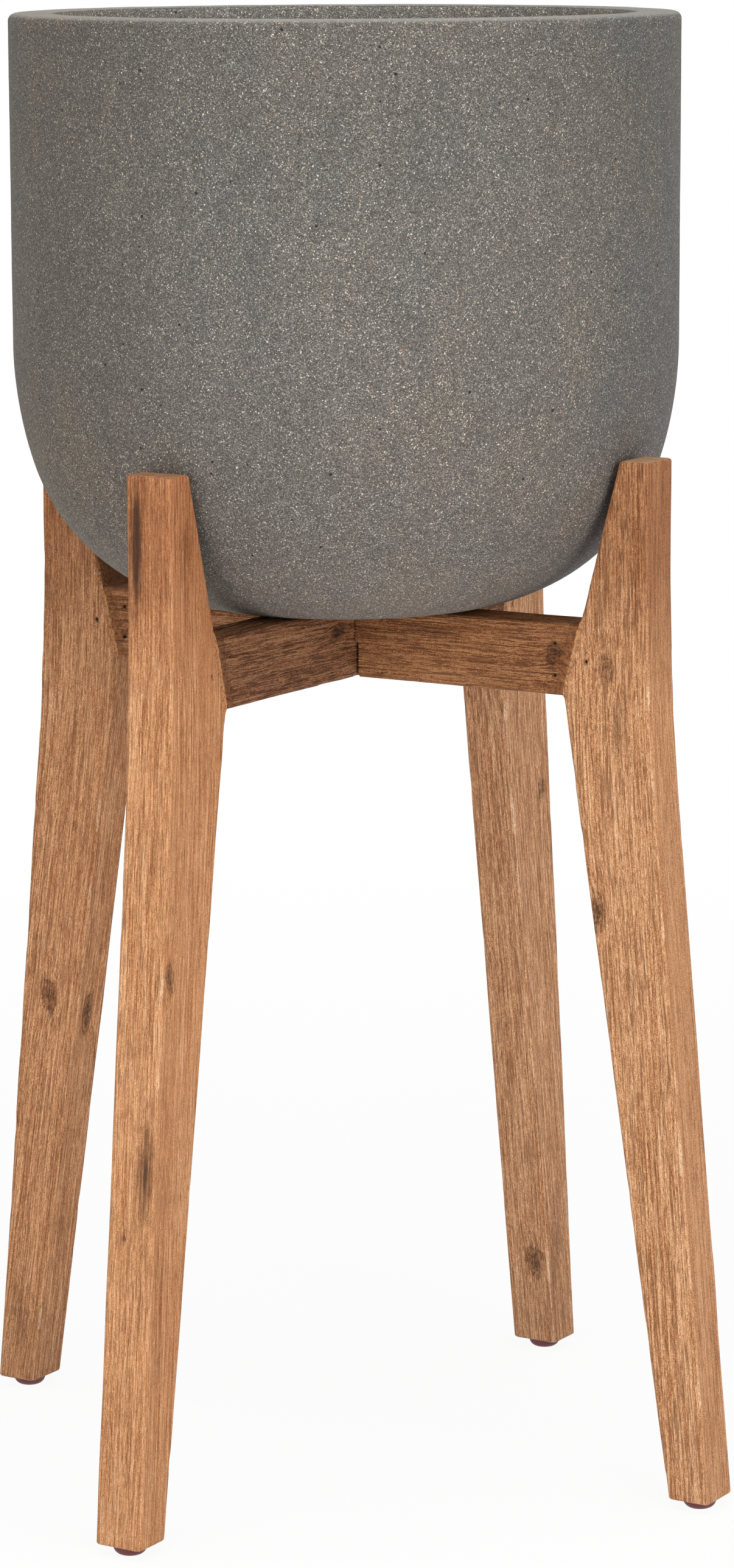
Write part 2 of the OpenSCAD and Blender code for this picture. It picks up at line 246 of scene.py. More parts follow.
class Recipe:
    """A material or world being built. Every node is added by node()."""

    def __init__(self, name, kind="materials"):
        self.owner = getattr(bpy.data, kind).new(name)
        self.owner.use_nodes = True
        self.tree = self.owner.node_tree
        self.tree.nodes.clear()

    def node(self, kind, settings=None, values=None, output=0):
        made = self.tree.nodes.new(kind)
        for key, value in (settings or {}).items():
            if key == "stops":
                stops = made.color_ramp.elements
                stops[0].position, stops[1].position = value[0][0], value[-1][0]
                made_stops = [stops[0], *(stops.new(place) for place, _ in value[1:-1])]
                for stop, (_, shade) in zip([*made_stops, stops[len(stops) - 1]], value):
                    stop.color = (*shade, 1.0)
            else:
                setattr(made, key, value)
        for key, value in (values or {}).items():
            self.feed(self.socket(made.inputs, key), value)
        return None if output is None else Signal(self.socket(made.outputs, output), self)

    @staticmethod
    def socket(sockets, key):
        if isinstance(key, int):
            return sockets[key]
        found = [s for s in sockets if s.identifier == key] or [s for s in sockets if s.name == key and s.enabled]
        if not found:
            raise KeyError(f"no socket {key!r} among {[s.name for s in sockets]}")
        return found[0]

    def feed(self, socket, value):
        if isinstance(value, Signal):
            self.tree.links.new(value.socket, socket)
        elif hasattr(value, "__len__") and len(value) == 3 and len(socket.default_value) == 4:
            socket.default_value = (*value, 1.0)
        else:
            socket.default_value = value

    def place(self):
        """Object coordinates, in metres."""
        return self.node("ShaderNodeTexCoord", output="Object")

    def attribute(self, name, output="Fac"):
        return self.node("ShaderNodeAttribute", {"attribute_name": name}, output=output)

    def stretch(self, vector, factors, shift=(0.0, 0.0, 0.0)):
        """A vector times one factor, or one for each axis, and moved."""
        factors = factors if hasattr(factors, "__len__") else (factors,) * 3
        return self.node("ShaderNodeVectorMath", {"operation": "MULTIPLY_ADD"}, {0: vector, 1: factors, 2: shift})

    def outputs(self, kind, names, values=None):
        """Several outputs of one node."""
        found = self.node(kind, None, values).socket.node.outputs
        return [Signal(found[n], self) for n in names]

    def split(self, vector):
        return self.outputs("ShaderNodeSeparateXYZ", (0, 1, 2), {0: vector})

    def noise(self, vector, factors, detail, rough, shift=(0.0, 0.0, 0.0), output="Fac"):
        """Noise with lumps about 1/factor wide."""
        values = {"Vector": self.stretch(vector, factors, shift), "Scale": 1.0, "Detail": detail, "Roughness": rough}
        return self.node("ShaderNodeTexNoise", None, values, output)

    def cells(self, vector, scale, output="Distance"):
        return self.node("ShaderNodeTexVoronoi", None, {"Vector": vector, "Scale": scale}, output)

    def blend(self, a, b, factor, mode="MIX"):
        return self.node(
            "ShaderNodeMix",
            {"data_type": "RGBA", "blend_type": mode},
            {"Factor_Float": factor, "A_Color": a, "B_Color": b},
            "Result_Color",
        )

    def ramp(self, value, stops):
        """Colours along a value, from [(place, colour)]."""
        return self.node("ShaderNodeValToRGB", {"stops": stops}, {"Fac": value}, "Color")

    def bump(self, height, depth, strength):
        return self.node("ShaderNodeBump", None, {"Strength": strength, "Distance": depth, "Height": height})

    def finish(self, base, roughness, normal, metallic=0.0, specular=0.5):
        values = {"Base Color": base, "Roughness": roughness, "Metallic": metallic, "Specular IOR Level": specular}
        return self.show(self.node("ShaderNodeBsdfPrincipled", None, {**values, "Normal": normal}))

    def show(self, surface, output="ShaderNodeOutputMaterial"):
        self.node(output, None, {"Surface": surface}, None)
        return self.owner


# ---------------------------------------------------------------- surfaces in numpy


def scatter(cell, seed):
    """A fixed random number from -1 to 1 for each whole-numbered cell."""
    mixed = cell[..., 0] * 73856093 ^ cell[..., 1] * 19349663 ^ cell[..., 2] * 83492791 ^ seed * 40503
    mixed = (mixed ^ (mixed >> 13)) * 1274126177 & 0x7FFFFFFF
    mixed ^= mixed >> 15
    return (mixed & 0xFFFF) / 32767.5 - 1.0


def waves(points, seed):
    """Smooth noise from -1 to 1 on cells one unit wide."""
    low = np.floor(points).astype(np.int64)
    part = points - low
    part = part * part * (3 - 2 * part)
    total = np.zeros(points.shape[:-1])
    for corner in itertools.product((0, 1), repeat=3):
        weight = np.prod(np.where(corner, part, 1 - part), axis=-1)
        total += weight * scatter(low + np.array(corner), seed)
    return total


def ease(x, low, high):
    """0 below low, 1 above high, and smooth between."""
    t = np.clip((x - low) / (high - low), 0.0, 1.0)
    return t * t * (3 - 2 * t)


def arc(cx, cy, radius, start, end, steps):
    """Points of an arc round (cx, cy), from start to end in degrees."""
    angles = np.radians(np.linspace(start, end, steps + 1))
    return np.stack([cx + radius * np.cos(angles), cy + radius * np.sin(angles)], -1)


def even_steps(points, spacing):
    """An open line's points, each longer stretch cut into steps of at most spacing."""
    out = [points[:1]]
    for a, b in zip(points[:-1], points[1:]):
        count = max(1, math.ceil(np.linalg.norm(b - a) / spacing))
        out.append(a + (b - a) * np.linspace(0, 1, count + 1)[1:, None])
    return np.concatenate(out)


def band(index):
    """Four-cornered faces between rings of point numbers, each ring closed on itself."""
    after = np.roll(index, -1, 1)
    return np.stack([index[:-1], after[:-1], after[1:], index[1:]], -1).reshape(-1, 4)


def bar_through(rings):
    """Points, side faces and end faces of a closed bar through rings of equally many points."""
    index = np.arange(rings[0].shape[0] * len(rings)).reshape(len(rings), -1)
    return np.concatenate(rings), band(index), [index[:1, ::-1], index[-1:]]


def turned(points, heading):
    """Points turned round the Z axis by a heading in degrees."""
    a = math.radians(heading)
    x, y, z = points[..., 0], points[..., 1], points[..., 2]
    return np.stack([x * math.cos(a) - y * math.sin(a), x * math.sin(a) + y * math.cos(a), z], -1)


def make_piece(name, vertices, faces, corner_map=None, smooth=True, attributes=None):
    """A mesh object at the origin. faces is a list of whole-number arrays, each with its faces' corners."""
    mesh = bpy.data.meshes.new(name)
    sizes = np.concatenate([np.full(len(f), f.shape[1]) for f in faces])
    corners = np.concatenate([f.ravel() for f in faces])
    mesh.vertices.add(len(vertices))
    mesh.vertices.foreach_set("co", np.asarray(vertices, np.float32).ravel())
    mesh.loops.add(len(corners))
    mesh.loops.foreach_set("vertex_index", corners.astype(np.int32))
    mesh.polygons.add(len(sizes))
    mesh.polygons.foreach_set("loop_start", (np.cumsum(sizes) - sizes).astype(np.int32))
    mesh.polygons.foreach_set("loop_total", sizes.astype(np.int32))
    if corner_map is not None:
        layer = mesh.uv_layers.new(name=BAKE_MAP)
        layer.uv.foreach_set("vector", np.asarray(corner_map, np.float32).ravel())
    for key, values in (attributes or {}).items():
        kind = "FLOAT_VECTOR" if values.ndim == 2 else "FLOAT"
        made = mesh.attributes.new(key, kind, "POINT")
        made.data.foreach_set("vector" if values.ndim == 2 else "value", np.asarray(values, np.float32).ravel())
    mesh.update(calc_edges=True)
    if mesh.validate():
        raise RuntimeError(f"{name} had faces that Blender had to mend")
    mesh.shade_smooth() if smooth else mesh.shade_flat()
    piece = bpy.data.objects.new(name, mesh)
    bpy.context.scene.collection.objects.link(piece)
    return piece


def wear(piece, material, body, slot, *nodes):
    """Gives a piece its material, its body and the CAD nodes that it stands for."""
    piece.data.materials.clear()
    piece.data.materials.append(material)
    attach(piece, body)
    if nodes:
        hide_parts(*nodes)


def volume(mesh):
    """The space a closed mesh holds, below 0 where it is inside out."""
    work = bmesh.new()
    work.from_mesh(mesh)
    held = work.calc_volume(signed=True)
    work.free()
    return held


def mend(piece, outside=False):
    """Merges points that lie on each other, drops faces with no area and may turn all faces outwards."""
    work = bmesh.new()
    work.from_mesh(piece.data)
    bmesh.ops.remove_doubles(work, verts=work.verts, dist=1e-6)
    if outside:
        bmesh.ops.recalc_face_normals(work, faces=work.faces)
    work.to_mesh(piece.data)
    work.free()


def carve(piece, tools):
    """Cuts closed tool meshes out of a piece, one after another, and leaves a plain mesh."""
    for tool in tools:
        cut = piece.modifiers.new("cut", "BOOLEAN")
        cut.operation = "DIFFERENCE"
        cut.solver = "MANIFOLD"
        cut.object = tool
        result = bpy.data.meshes.new_from_object(piece.evaluated_get(bpy.context.evaluated_depsgraph_get()))
        piece.modifiers.remove(cut)
        if not 0 < volume(result) < volume(piece.data) - 1e-9:
            raise RuntimeError(f"{tool.name} did not cut {piece.name} as it should")
        old, piece.data = piece.data, result
        bpy.data.meshes.remove(old)
        bpy.data.objects.remove(tool)


# ---------------------------------------------------------------- the bowl


class BowlOutline:
    """The bowl's outer radius and slope at a height above its base, as in the CAD source."""

    def __init__(self, s):
        low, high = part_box("planter_bowl")
        self.radius, self.height, self.base_z = high.x, high.z - low.z, low.z
        self.turn, self.upper, self.base = s.turn_height, s.upper_curve, s.base_radius
        self.upper_x = self.radius - self.upper
        reach = self.upper_x - self.base
        self.lower = (reach**2 + self.turn**2 - self.upper**2) / (2 * (self.turn - self.upper))
        self.meet = math.asin((self.turn - self.lower) / (self.upper - self.lower))

    def slope(self, h):
        return math.asin((self.turn - h) / self.upper)

    def radius_at(self, h):
        return self.upper_x + self.upper * math.cos(self.slope(h))

    def belly(self, inset):
        meet = math.degrees(self.meet)
        lower = arc(self.base, self.lower, self.lower - inset, -90, -meet, 26)
        upper = arc(self.upper_x, self.turn, self.upper - inset, -meet, 0, 14)
        return np.concatenate([lower, upper[1:]])


def bowl_profile(shape, s):
    """The whole cross-section as a closed line, from the drain hole's lower edge round to it again."""
    soft, crisp, mouth = s.rim_round, s.mouth_round, shape.radius - s.rim_width
    rim = shape.height - s.rim_depth
    ledge = s.rim_width - s.wall
    inner = shape.radius - s.wall
    parts = [
        [[s.drain_radius + 0.001, 0.0]],
        shape.belly(0.0),
        arc(shape.radius - soft, shape.height - soft, soft, 0, 90, 8),
        arc(mouth + crisp, shape.height - crisp, crisp, 90, 180, 6),
        arc(mouth + 0.002, rim + 0.0008, 0.002, 180, 225, 3),
        arc(inner - 0.004, rim - ledge - 0.0016, 0.004, 45, 0, 4),
        shape.belly(s.wall)[::-1],
        [[s.drain_radius + 0.001, s.wall]],
        [[s.drain_radius, s.wall - 0.001]],
        [[s.drain_radius, 0.001]],
        [[s.drain_radius + 0.001, 0.0]],
    ]
    return even_steps(np.concatenate([np.asarray(p, float) for p in parts]), 0.0062)


def build_bowl(s):
    """Lathes the profile and dips it here and there. The attribute inner is 1 inside the mouth."""
    shape = BowlOutline(s)
    line = bowl_profile(shape, s)[:-1]
    around, count = 320, len(line)
    turn = np.linspace(0, 2 * math.pi, around, endpoint=False)[:, None]
    ahead, behind = np.roll(line, -1, 0), np.roll(line, 1, 0)
    out = np.stack([(ahead - behind)[:, 1], (behind - ahead)[:, 0]], -1)
    out /= np.linalg.norm(out, axis=1)[:, None]

    def lathed(flat):
        return np.stack([flat[:, 0] * np.cos(turn), flat[:, 0] * np.sin(turn), flat[:, 1] + 0 * turn], -1)

    points = lathed(line)
    dip = 0.5 + 0.32 * waves(points * (9, 9, 14), 3) + 0.18 * waves(points * 42, 4)
    fine = 0.5 + 0.5 * waves(points * 150, 5)
    held = ease(np.hypot(points[..., 0], points[..., 1]), 0.016, 0.03) * ease(points[..., 2], -0.001, 0.010)
    depth = s.unevenness * np.clip(0.8 * dip + 0.2 * fine, 0, 1) * held
    points = points - lathed(out) * depth[..., None] + (0, 0, shape.base_z)
    index = np.arange(around * count).reshape(around, count)
    right, up = np.roll(index, -1, 0), np.roll(index, -1, 1)
    faces = np.stack([index, right, np.roll(right, -1, 1), up], -1).reshape(-1, 4)
    run = np.concatenate([[0], np.cumsum(np.linalg.norm(ahead - line, axis=1))])
    grid = np.stack(np.broadcast_arrays(np.arange(around + 1)[:, None] / around, run / run[-1]), -1)
    corner_map = np.stack([grid[:-1, :-1], grid[1:, :-1], grid[1:, 1:], grid[:-1, 1:]], 2).reshape(-1, 2)
    past_top = np.arange(count) > np.argmax(line[:, 1]) + 8
    inner = np.broadcast_to(past_top, (around, count)).astype(float).ravel()
    return make_piece("cast_bowl", points.reshape(-1, 3), [faces], corner_map, attributes={"inner": inner})


def stone_material(s):
    """Dark binder with dense fine grit, larger pale grit, a few tan grains and pinholes, and faint clouds."""
    r = Recipe("speckled_cast_stone")
    place = r.place()
    cloud = r.noise(place, (9, 9, 7), 4, 0.55)
    streak = r.noise(place, (34, 34, 5), 3, 0.6, (3, 1, 2))
    patch = r.noise(place, (75, 75, 60), 3, 0.65)
    grime = r.noise(place, 420, 2, 0.6)
    # Grit: one fine noise, from the dark binder up to small pale grains
    askew = r.node("ShaderNodeMapping", None, {"Vector": place, "Rotation": (0.5, 0.8, 0.3)}, "Vector")
    fine = r.noise(askew, 1450, 2, 0.75)
    fine = 0.5 + (fine - 0.5) * 1.14 + (patch - 0.5) * 0.07 + (grime - 0.5) * 0.18
    base = r.ramp(fine, [
        (0.30, (0.042, 0.039, 0.035)), (0.43, tuple(s.matrix)), (0.53, (0.128, 0.120, 0.109)),
        (0.63, tuple(s.fine_grit)), (0.74, (0.42, 0.40, 0.36)), (0.84, tuple(s.pale_grit)),
    ])
    # Larger grains: a grain stands in some of the cells, each with its own size and shade
    bent = r.stretch(r.noise(askew, 700, 0, 0.5, output="Color"), 0.0012, askew)
    warm = r.noise(askew, 700, 1, 0.6, (1, 6, 2))
    for size, part, width in ((1050.0, 0.20, 0.50), (620.0, 0.07, 0.34)):
        kind = r.split(r.cells(bent, size, "Color"))
        chosen = (kind[1] + (patch - 0.5) * 0.15 + (cloud - 0.5) * 0.1) > 1.0 - part
        grain = (r.cells(bent, size) + kind[0] * 0.16).rise(width, width * 0.55) * chosen
        tint = r.blend(tuple(s.pale_grit), tuple(s.tan_grit), (kind[2] > 0.95).most(warm.rise(0.66, 0.70)))
        base = r.blend(base, tint, grain * (0.55 + kind[2] * 0.45))
    base = r.blend(base, (1.25, 1.0, 0.78), warm.rise(0.60, 0.72) * 0.6, "MULTIPLY")
    clouds = r.blend(tuple(s.cool_cloud), tuple(s.warm_cloud), (cloud * 0.7 + streak * 0.3).rise(0.42, 0.62))
    base = r.blend(base, clouds, 1.0, "MULTIPLY")
    elsewhere = r.stretch(place, 1.0, (7.0, 1.0, 6.0))
    hole_kind = r.split(r.cells(elsewhere, 120.0, "Color"))[0]
    hole = r.cells(elsewhere, 120.0).rise(0.115, 0.07) * (hole_kind > 0.80)
    base = r.blend(base, (0.018, 0.016, 0.014), hole)
    # Sanded places: the rim's top is paler
    facing = r.split(r.node("ShaderNodeTexCoord", output="Normal"))[2]
    # Sanded places and painted light: the rim's top, where it faces up, is paler, partly as sanded stone and partly as
    # a painted highlight from the overhead lamp
    across, _, height = r.split(place)
    top = facing.rise(0.55, 0.95) * height.rise(0.82, 0.835)
    base = r.blend(base, (0.40, 0.385, 0.345), top * 0.42)
    inside = r.attribute("inner")
    outside = 1.0 - inside
    # Painted light and shade, multiplied in: lamps reach little of the mouth's band, which is as pale as the outside in
    # the photographed bowl, so the band and the whole inside are painted brighter. The outside is painted brighter low
    # down and brighter still at its bottom, which the lamps light less, and painted darker towards its left and right
    # sides as painted shade.
    tints = (
        ((1.66, 1.68, 1.66), inside * height.rise(0.800, 0.816)),
        ((1.12, 1.12, 1.11), inside),
        ((1.07, 1.03, 1.015), outside * height.rise(0.74, 0.58)),
        ((1.13, 1.12, 1.12), outside * height.rise(0.560, 0.518)),
        ((0.93, 0.90, 0.86), outside * (across + (cloud - 0.5) * 0.10).rise(-0.105, -0.185)),
        ((0.90, 0.915, 0.94), outside * (across + (cloud - 0.5) * 0.06).rise(0.070, 0.125) * across.rise(0.188, 0.170)),
    )
    for tint, share in tints:
        base = r.blend(base, tint, share, "MULTIPLY")
    # Clouds and streaks vary the tone, and the whole bowl is darker above 0.72 m, by up to 6 % at 0.80 m
    light = (cloud * 0.5 + streak * 0.5).rise(0.25, 0.75) * 0.12 + 0.965 - height.rise(0.72, 0.80) * 0.06
    base = r.blend(base, r.node("ShaderNodeCombineXYZ", None, {0: light, 1: light, 2: light}), 1.0, "MULTIPLY")
    relief = grime * 0.35 + fine * 0.7 + patch * 0.5 - hole * 4.0
    normal = r.bump(relief, 0.00016, 0.8)
    rough = 0.86 - fine.rise(0.6, 0.8) * 0.2
    return r.finish(base, rough, normal, specular=0.35)


# ---------------------------------------------------------------- the wood


class StandShape:
    """Leg and crossbar outlines in the upright plane of one frame, as in the CAD source. x is out from the axis."""

    def __init__(self, s, outline):
        leg_low, leg_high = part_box("leg_front_left")
        self.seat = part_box("crossbar_upper")[1].z
        self.board = s.board
        self.bar_z = self.seat - s.bar_height
        self.lap_z = self.seat - s.bar_height / 2
        self.top, self.foot = leg_high.z, leg_low.z
        self.cup = outline.slope(s.leg_rise)
        self.inner_top = outline.radius_at(s.leg_rise) + s.cup_gap / math.cos(self.cup)
        self.outer_top = self.inner_top + s.leg_top_width
        self.knee = self.bar_z + s.knee_rise
        self.outer_foot = self.outer_top + s.foot_spread
        self.inner_foot = self.outer_foot - s.foot_width
        self.foot_x = self.outer_foot - s.foot_width / 2
        bend_z = self.bar_z + s.bend_rise
        self.splay = math.atan(s.foot_spread / (bend_z - self.foot))
        run = min(s.bend_radius * math.tan(self.splay / 2), self.top - bend_z - s.end_round)
        self.bend_r = run / math.tan(self.splay / 2)
        self.bend_top = bend_z + run
        self.bend_low = bend_z - run * math.cos(self.splay)

    def joint_x(self, z):
        return self.inner_top - (self.top - z) * math.tan(self.cup)

    def inner(self, z):
        knee_x = self.joint_x(self.knee)
        low = self.inner_foot + (knee_x - self.inner_foot) * (z - self.foot) / (self.knee - self.foot)
        return np.where(z >= self.knee, self.joint_x(z), low)

    def outer(self, z):
        drop = np.clip(self.bend_top - z, 0, self.bend_r)
        bend = self.outer_top + self.bend_r - np.sqrt(self.bend_r**2 - drop**2)
        low = self.outer_foot - (z - self.foot) * math.tan(self.splay)
        return np.where(z >= self.bend_top, self.outer_top, np.where(z <= self.bend_low, low, bend))


BACK_SAWN = ((0.230, 0.135, 0.076), (0.47, 0.31, 0.195))
# The boards' own middles, from which pith is measured: out along the frame at a leg's foot, and up at a crossbar.
FOOT_MIDDLE, BAR_MIDDLE = 0.2329, 0.4835
# The share of a leg's slant that its grain takes at each height: all of it low down, and little beside the bowl.
LEAN_LEVELS = np.linspace(0.0, 0.65, 66)
LEAN_SHARE = 1 - 0.8 * ease(LEAN_LEVELS, 0.36, 0.50)
LEAN_RUN = np.append(0.0, np.cumsum((LEAN_SHARE[1:] + LEAN_SHARE[:-1]) / 2 * np.diff(LEAN_LEVELS)))

# How each board was sawn and used. pith is where the tree's middle lay from the board's own middle, in metres.
# A knot or scar is (x, y, z, width, height, strength) on the board, x outwards and y to the left of its heading.
# slant is how far a leg's grain leans out for each metre down, and contrast how strongly the stain marks the grain.
# spacing is the distance between dark lines, cracks their strength, bare how worn the edges are, plain the direction
# and share of a planed face, relief how deep the brushing looks, stain the darker tint of a leg's top, partly stain and
# partly painted shade from the bowl, and sawn the two colours of its end grain.
BOARDS = {
    "leg_front_left": {
        "pith": (0.050, 0.095), "seed": 11, "tint": (0.985, 0.915, 0.81), "foot_dirt": 0.04,
        "slant": 0.080, "contrast": 0.82, "bare": 0.40, "stain": (0.68, 0.565, 0.48),
        "spacing": 0.00110, "cracks": 0.42, "plain": (0, 1, 0.25), "sawn": ((0.36, 0.21, 0.12), (0.60, 0.40, 0.25)),
        "knots": [(0.2105, 0.015, 0.324, 0.0038, 0.0085, 0.75), (0.232, -0.004, 0.180, 0.003, 0.006, 0.4)],
        "scars": [(0.2034, -0.0085, 0.560, 0.0040, 0.034, 1.0), (0.2250, -0.006, 0.335, 0.004, 0.012, 0.45),
                  (0.237, 0.002, 0.055, 0.006, 0.05, 0.35), (0.190, 0.015, 0.562, 0.0035, 0.009, 0.35),
                  (0.2267, 0.008, 0.215, 0.0065, 0.038, 0.75)],
    },
    "leg_front_right": {
        "pith": (0.020, 0.070), "seed": 23, "tint": (0.96, 0.93, 0.86), "foot_dirt": 0.05,
        "slant": 0.080, "contrast": 1.05, "bare": 0.35, "stain": (0.61, 0.505, 0.42),
        "spacing": 0.00130, "cracks": 0.68, "plain": (1, 0, 0.60), "sawn": ((0.50, 0.32, 0.18), (0.80, 0.58, 0.38)),
        "knots": [(0.1780, -0.015, 0.480, 0.0050, 0.0085, 0.7), (0.1735, -0.014, 0.343, 0.0042, 0.010, 0.85)],
        "scars": [(0.186, -0.015, 0.447, 0.006, 0.02, 0.5), (0.196, -0.015, 0.30, 0.004, 0.02, 0.4)],
    },
    "leg_back_left": {
        "pith": (-0.060, 0.080), "seed": 37, "tint": (0.88, 0.80, 0.70), "foot_dirt": 0.26,
        "slant": 0.148, "contrast": 1.15, "bare": 0.5, "stain": (0.70, 0.60, 0.51),
        "spacing": 0.00120, "cracks": 0.62, "sawn": BACK_SAWN,
        "knots": [(0.2035, 0.015, 0.252, 0.0055, 0.010, 0.8), (0.1843, 0.0024, 0.240, 0.005, 0.012, 1.0)],
        "scars": [(0.198, 0.015, 0.50, 0.006, 0.03, 0.4), (0.230, 0.012, 0.05, 0.008, 0.035, 0.5)],
    },
    "leg_back_right": {
        "pith": (0.085, -0.055), "seed": 53, "tint": (0.99, 0.97, 0.95), "foot_dirt": 0.20,
        "slant": 0.148, "contrast": 1.05, "bare": 1.0, "stain": (0.70, 0.60, 0.51),
        "spacing": 0.00110, "cracks": 0.60, "sawn": BACK_SAWN,
        "knots": [(0.2010, -0.015, 0.365, 0.004, 0.010, 0.4), (0.2120, -0.0045, 0.060, 0.0055, 0.010, 0.85)],
        "scars": [(0.222, -0.012, 0.07, 0.007, 0.04, 0.6)],
    },
    "crossbar_upper": {
        "pith": (0.075, 0.035), "seed": 71, "tint": (0.50, 0.375, 0.252), "contrast": 2.0, "bare": 0.5, "relief": 1.3,
        "spacing": 0.0014, "cracks": 0.75,
        "knots": [(-0.146, 0.015, 0.4865, 0.006, 0.005, 0.8)],
        "scars": [(-0.060, 0.015, 0.494, 0.02, 0.004, 0.5)],
    },
    "crossbar_lower": {
        "pith": (0.060, -0.050), "seed": 89, "tint": (0.43, 0.325, 0.245), "contrast": 3.2, "bare": 0.8, "relief": 3.0,
        "spacing": 0.0018, "cracks": 0.85,
        "knots": [(0.034, 0.015, 0.491, 0.006, 0.004, 0.8)],
        "scars": [(0.080, 0.015, 0.476, 0.02, 0.004, 0.4)],
    },
}


def section_rings(x0, x1, width, radii, counts):
    """Rings of a rounded rectangle, from x0 to x1 and width wide in Y, one for each entry of x0.

    radii has the four corners' roundings, starting at (x1, +). Gives points, outward directions and how near each
    point is to an edge, from 0 to 1."""
    half = width / 2
    ends = [(x1, -half, x1, half), (x1, half, x0, half), (x0, half, x0, -half), (x0, -half, x1, -half)]
    points, outs, edge = [], [], []
    for side in range(4):
        r_in, r_out = radii[side - 1], radii[side]
        ax, ay, bx, by = ends[side]
        along = [(0, 1), (-1, 0), (0, -1), (1, 0)][side]
        normal = [(1, 0), (0, 1), (-1, 0), (0, -1)][side]
        t = np.linspace(0, 1, counts[side] + 1)
        sx, sy = ax + along[0] * r_in, ay + along[1] * r_in
        ex, ey = bx - along[0] * r_out, by - along[1] * r_out
        px = sx[:, None] + (ex - sx)[:, None] * t
        py = sy[:, None] + (ey - sy)[:, None] * t
        points.append(np.stack([px, py], -1))
        outs.append(np.broadcast_to(normal, px.shape + (2,)))
        edge.append(np.zeros(px.shape))
        steps = counts[4]
        angle = np.radians(90 * (side + np.arange(1, steps) / steps))
        cx, cy = ex + -normal[0] * r_out, ey + -normal[1] * r_out
        cos, sin = np.cos(angle), np.sin(angle)
        points.append(np.stack([cx[:, None] + r_out[:, None] * cos, cy[:, None] + r_out[:, None] * sin], -1))
        outs.append(np.broadcast_to(np.stack([cos, sin], -1), points[-1].shape))
        edge.append(np.broadcast_to(1 - abs(2 * np.arange(1, steps) / steps - 1), points[-1].shape[:2]))
    return np.concatenate(points, 1), np.concatenate(outs, 1), np.concatenate(edge, 1)


def steps_between(marks):
    """Values from the first mark to the last, each stretch with its own spacing: [(value, spacing to the next)]."""
    out = []
    for (a, gap), (b, _) in zip(marks[:-1], marks[1:]):
        count = max(1, round(abs(b - a) / gap))
        out.extend(np.linspace(a, b, count, endpoint=False))
    out.append(marks[-1][0])
    return np.array(out)


def grow(points, board, leg):
    """Places in the tree for points on a board, and its knots and scars: (ring, tangent, along), knot, scar."""
    x, y, z = points[..., 0], points[..., 1], points[..., 2]
    if leg:
        across, along = x - (FOOT_MIDDLE - np.interp(z, LEAN_LEVELS, LEAN_RUN) * board["slant"]), z
    else:
        across, along = z - BAR_MIDDLE, x
    px, py = board["pith"]
    seed = board["seed"]
    deflect, knot, scar = 0.0, np.zeros(x.shape), np.zeros(x.shape)
    ragged = 1.0 + 0.6 * waves(points * (520, 520, 300), seed + 14)
    for kx, ky, kz, wide, tall, strength in board["knots"]:
        near = ((x - kx) ** 2 + (y - ky) ** 2) / wide**2 + ((z - kz) / tall) ** 2
        deflect = deflect + 0.0032 * strength * np.exp(-near / 3.2)
        knot = np.maximum(knot, strength * np.exp(-((near * ragged) ** 1.5) / 1.1))
    for kx, ky, kz, wide, tall, strength in board["scars"]:
        near = ((x - kx) ** 2 + (y - ky) ** 2) / wide**2 + ((z - kz) / tall) ** 2
        scar = np.maximum(scar, strength * np.exp(-near * ragged * 0.9))
    slow = np.stack([across * 20, y * 20, along * 7], -1)
    sway = 0.0010 * waves(slow, seed) + 0.0003 * waves(slow * 3.1, seed + 1)
    sway = sway + (0.00012 if leg else 0.00040) * waves(np.stack([across * 230, y * 230, along * 105], -1), seed + 2)
    ring = np.hypot(across - px, y - py) + deflect + sway
    tangent = np.arctan2(y - py, across - px) * math.hypot(px, py)
    return np.stack([ring, tangent, along + 0.7 * seed], -1), knot, scar


def brush(grown, scar, knot, board):
    """Height of the brushed surface, from about -1 in a groove to 0 on a hard line."""
    seed, lines_each_metre = board["seed"], min(1.7 / board["spacing"], 1420)
    lines = waves(grown * (lines_each_metre, lines_each_metre * 0.94, 13), seed + 5)
    short = waves(grown * (1600, 1500, 70), seed + 7)
    calm = ease(waves(grown * (70, 60, 14), seed + 8), -0.45, 0.15)
    deep = (1.05 * lines + 0.75 * short) * (0.50 + 0.50 * calm)
    rough = scar * (0.6 + 0.9 * short)
    return np.clip(-0.38 + 0.60 * deep - 0.75 * rough - 0.3 * knot, -1.5, 0.0)


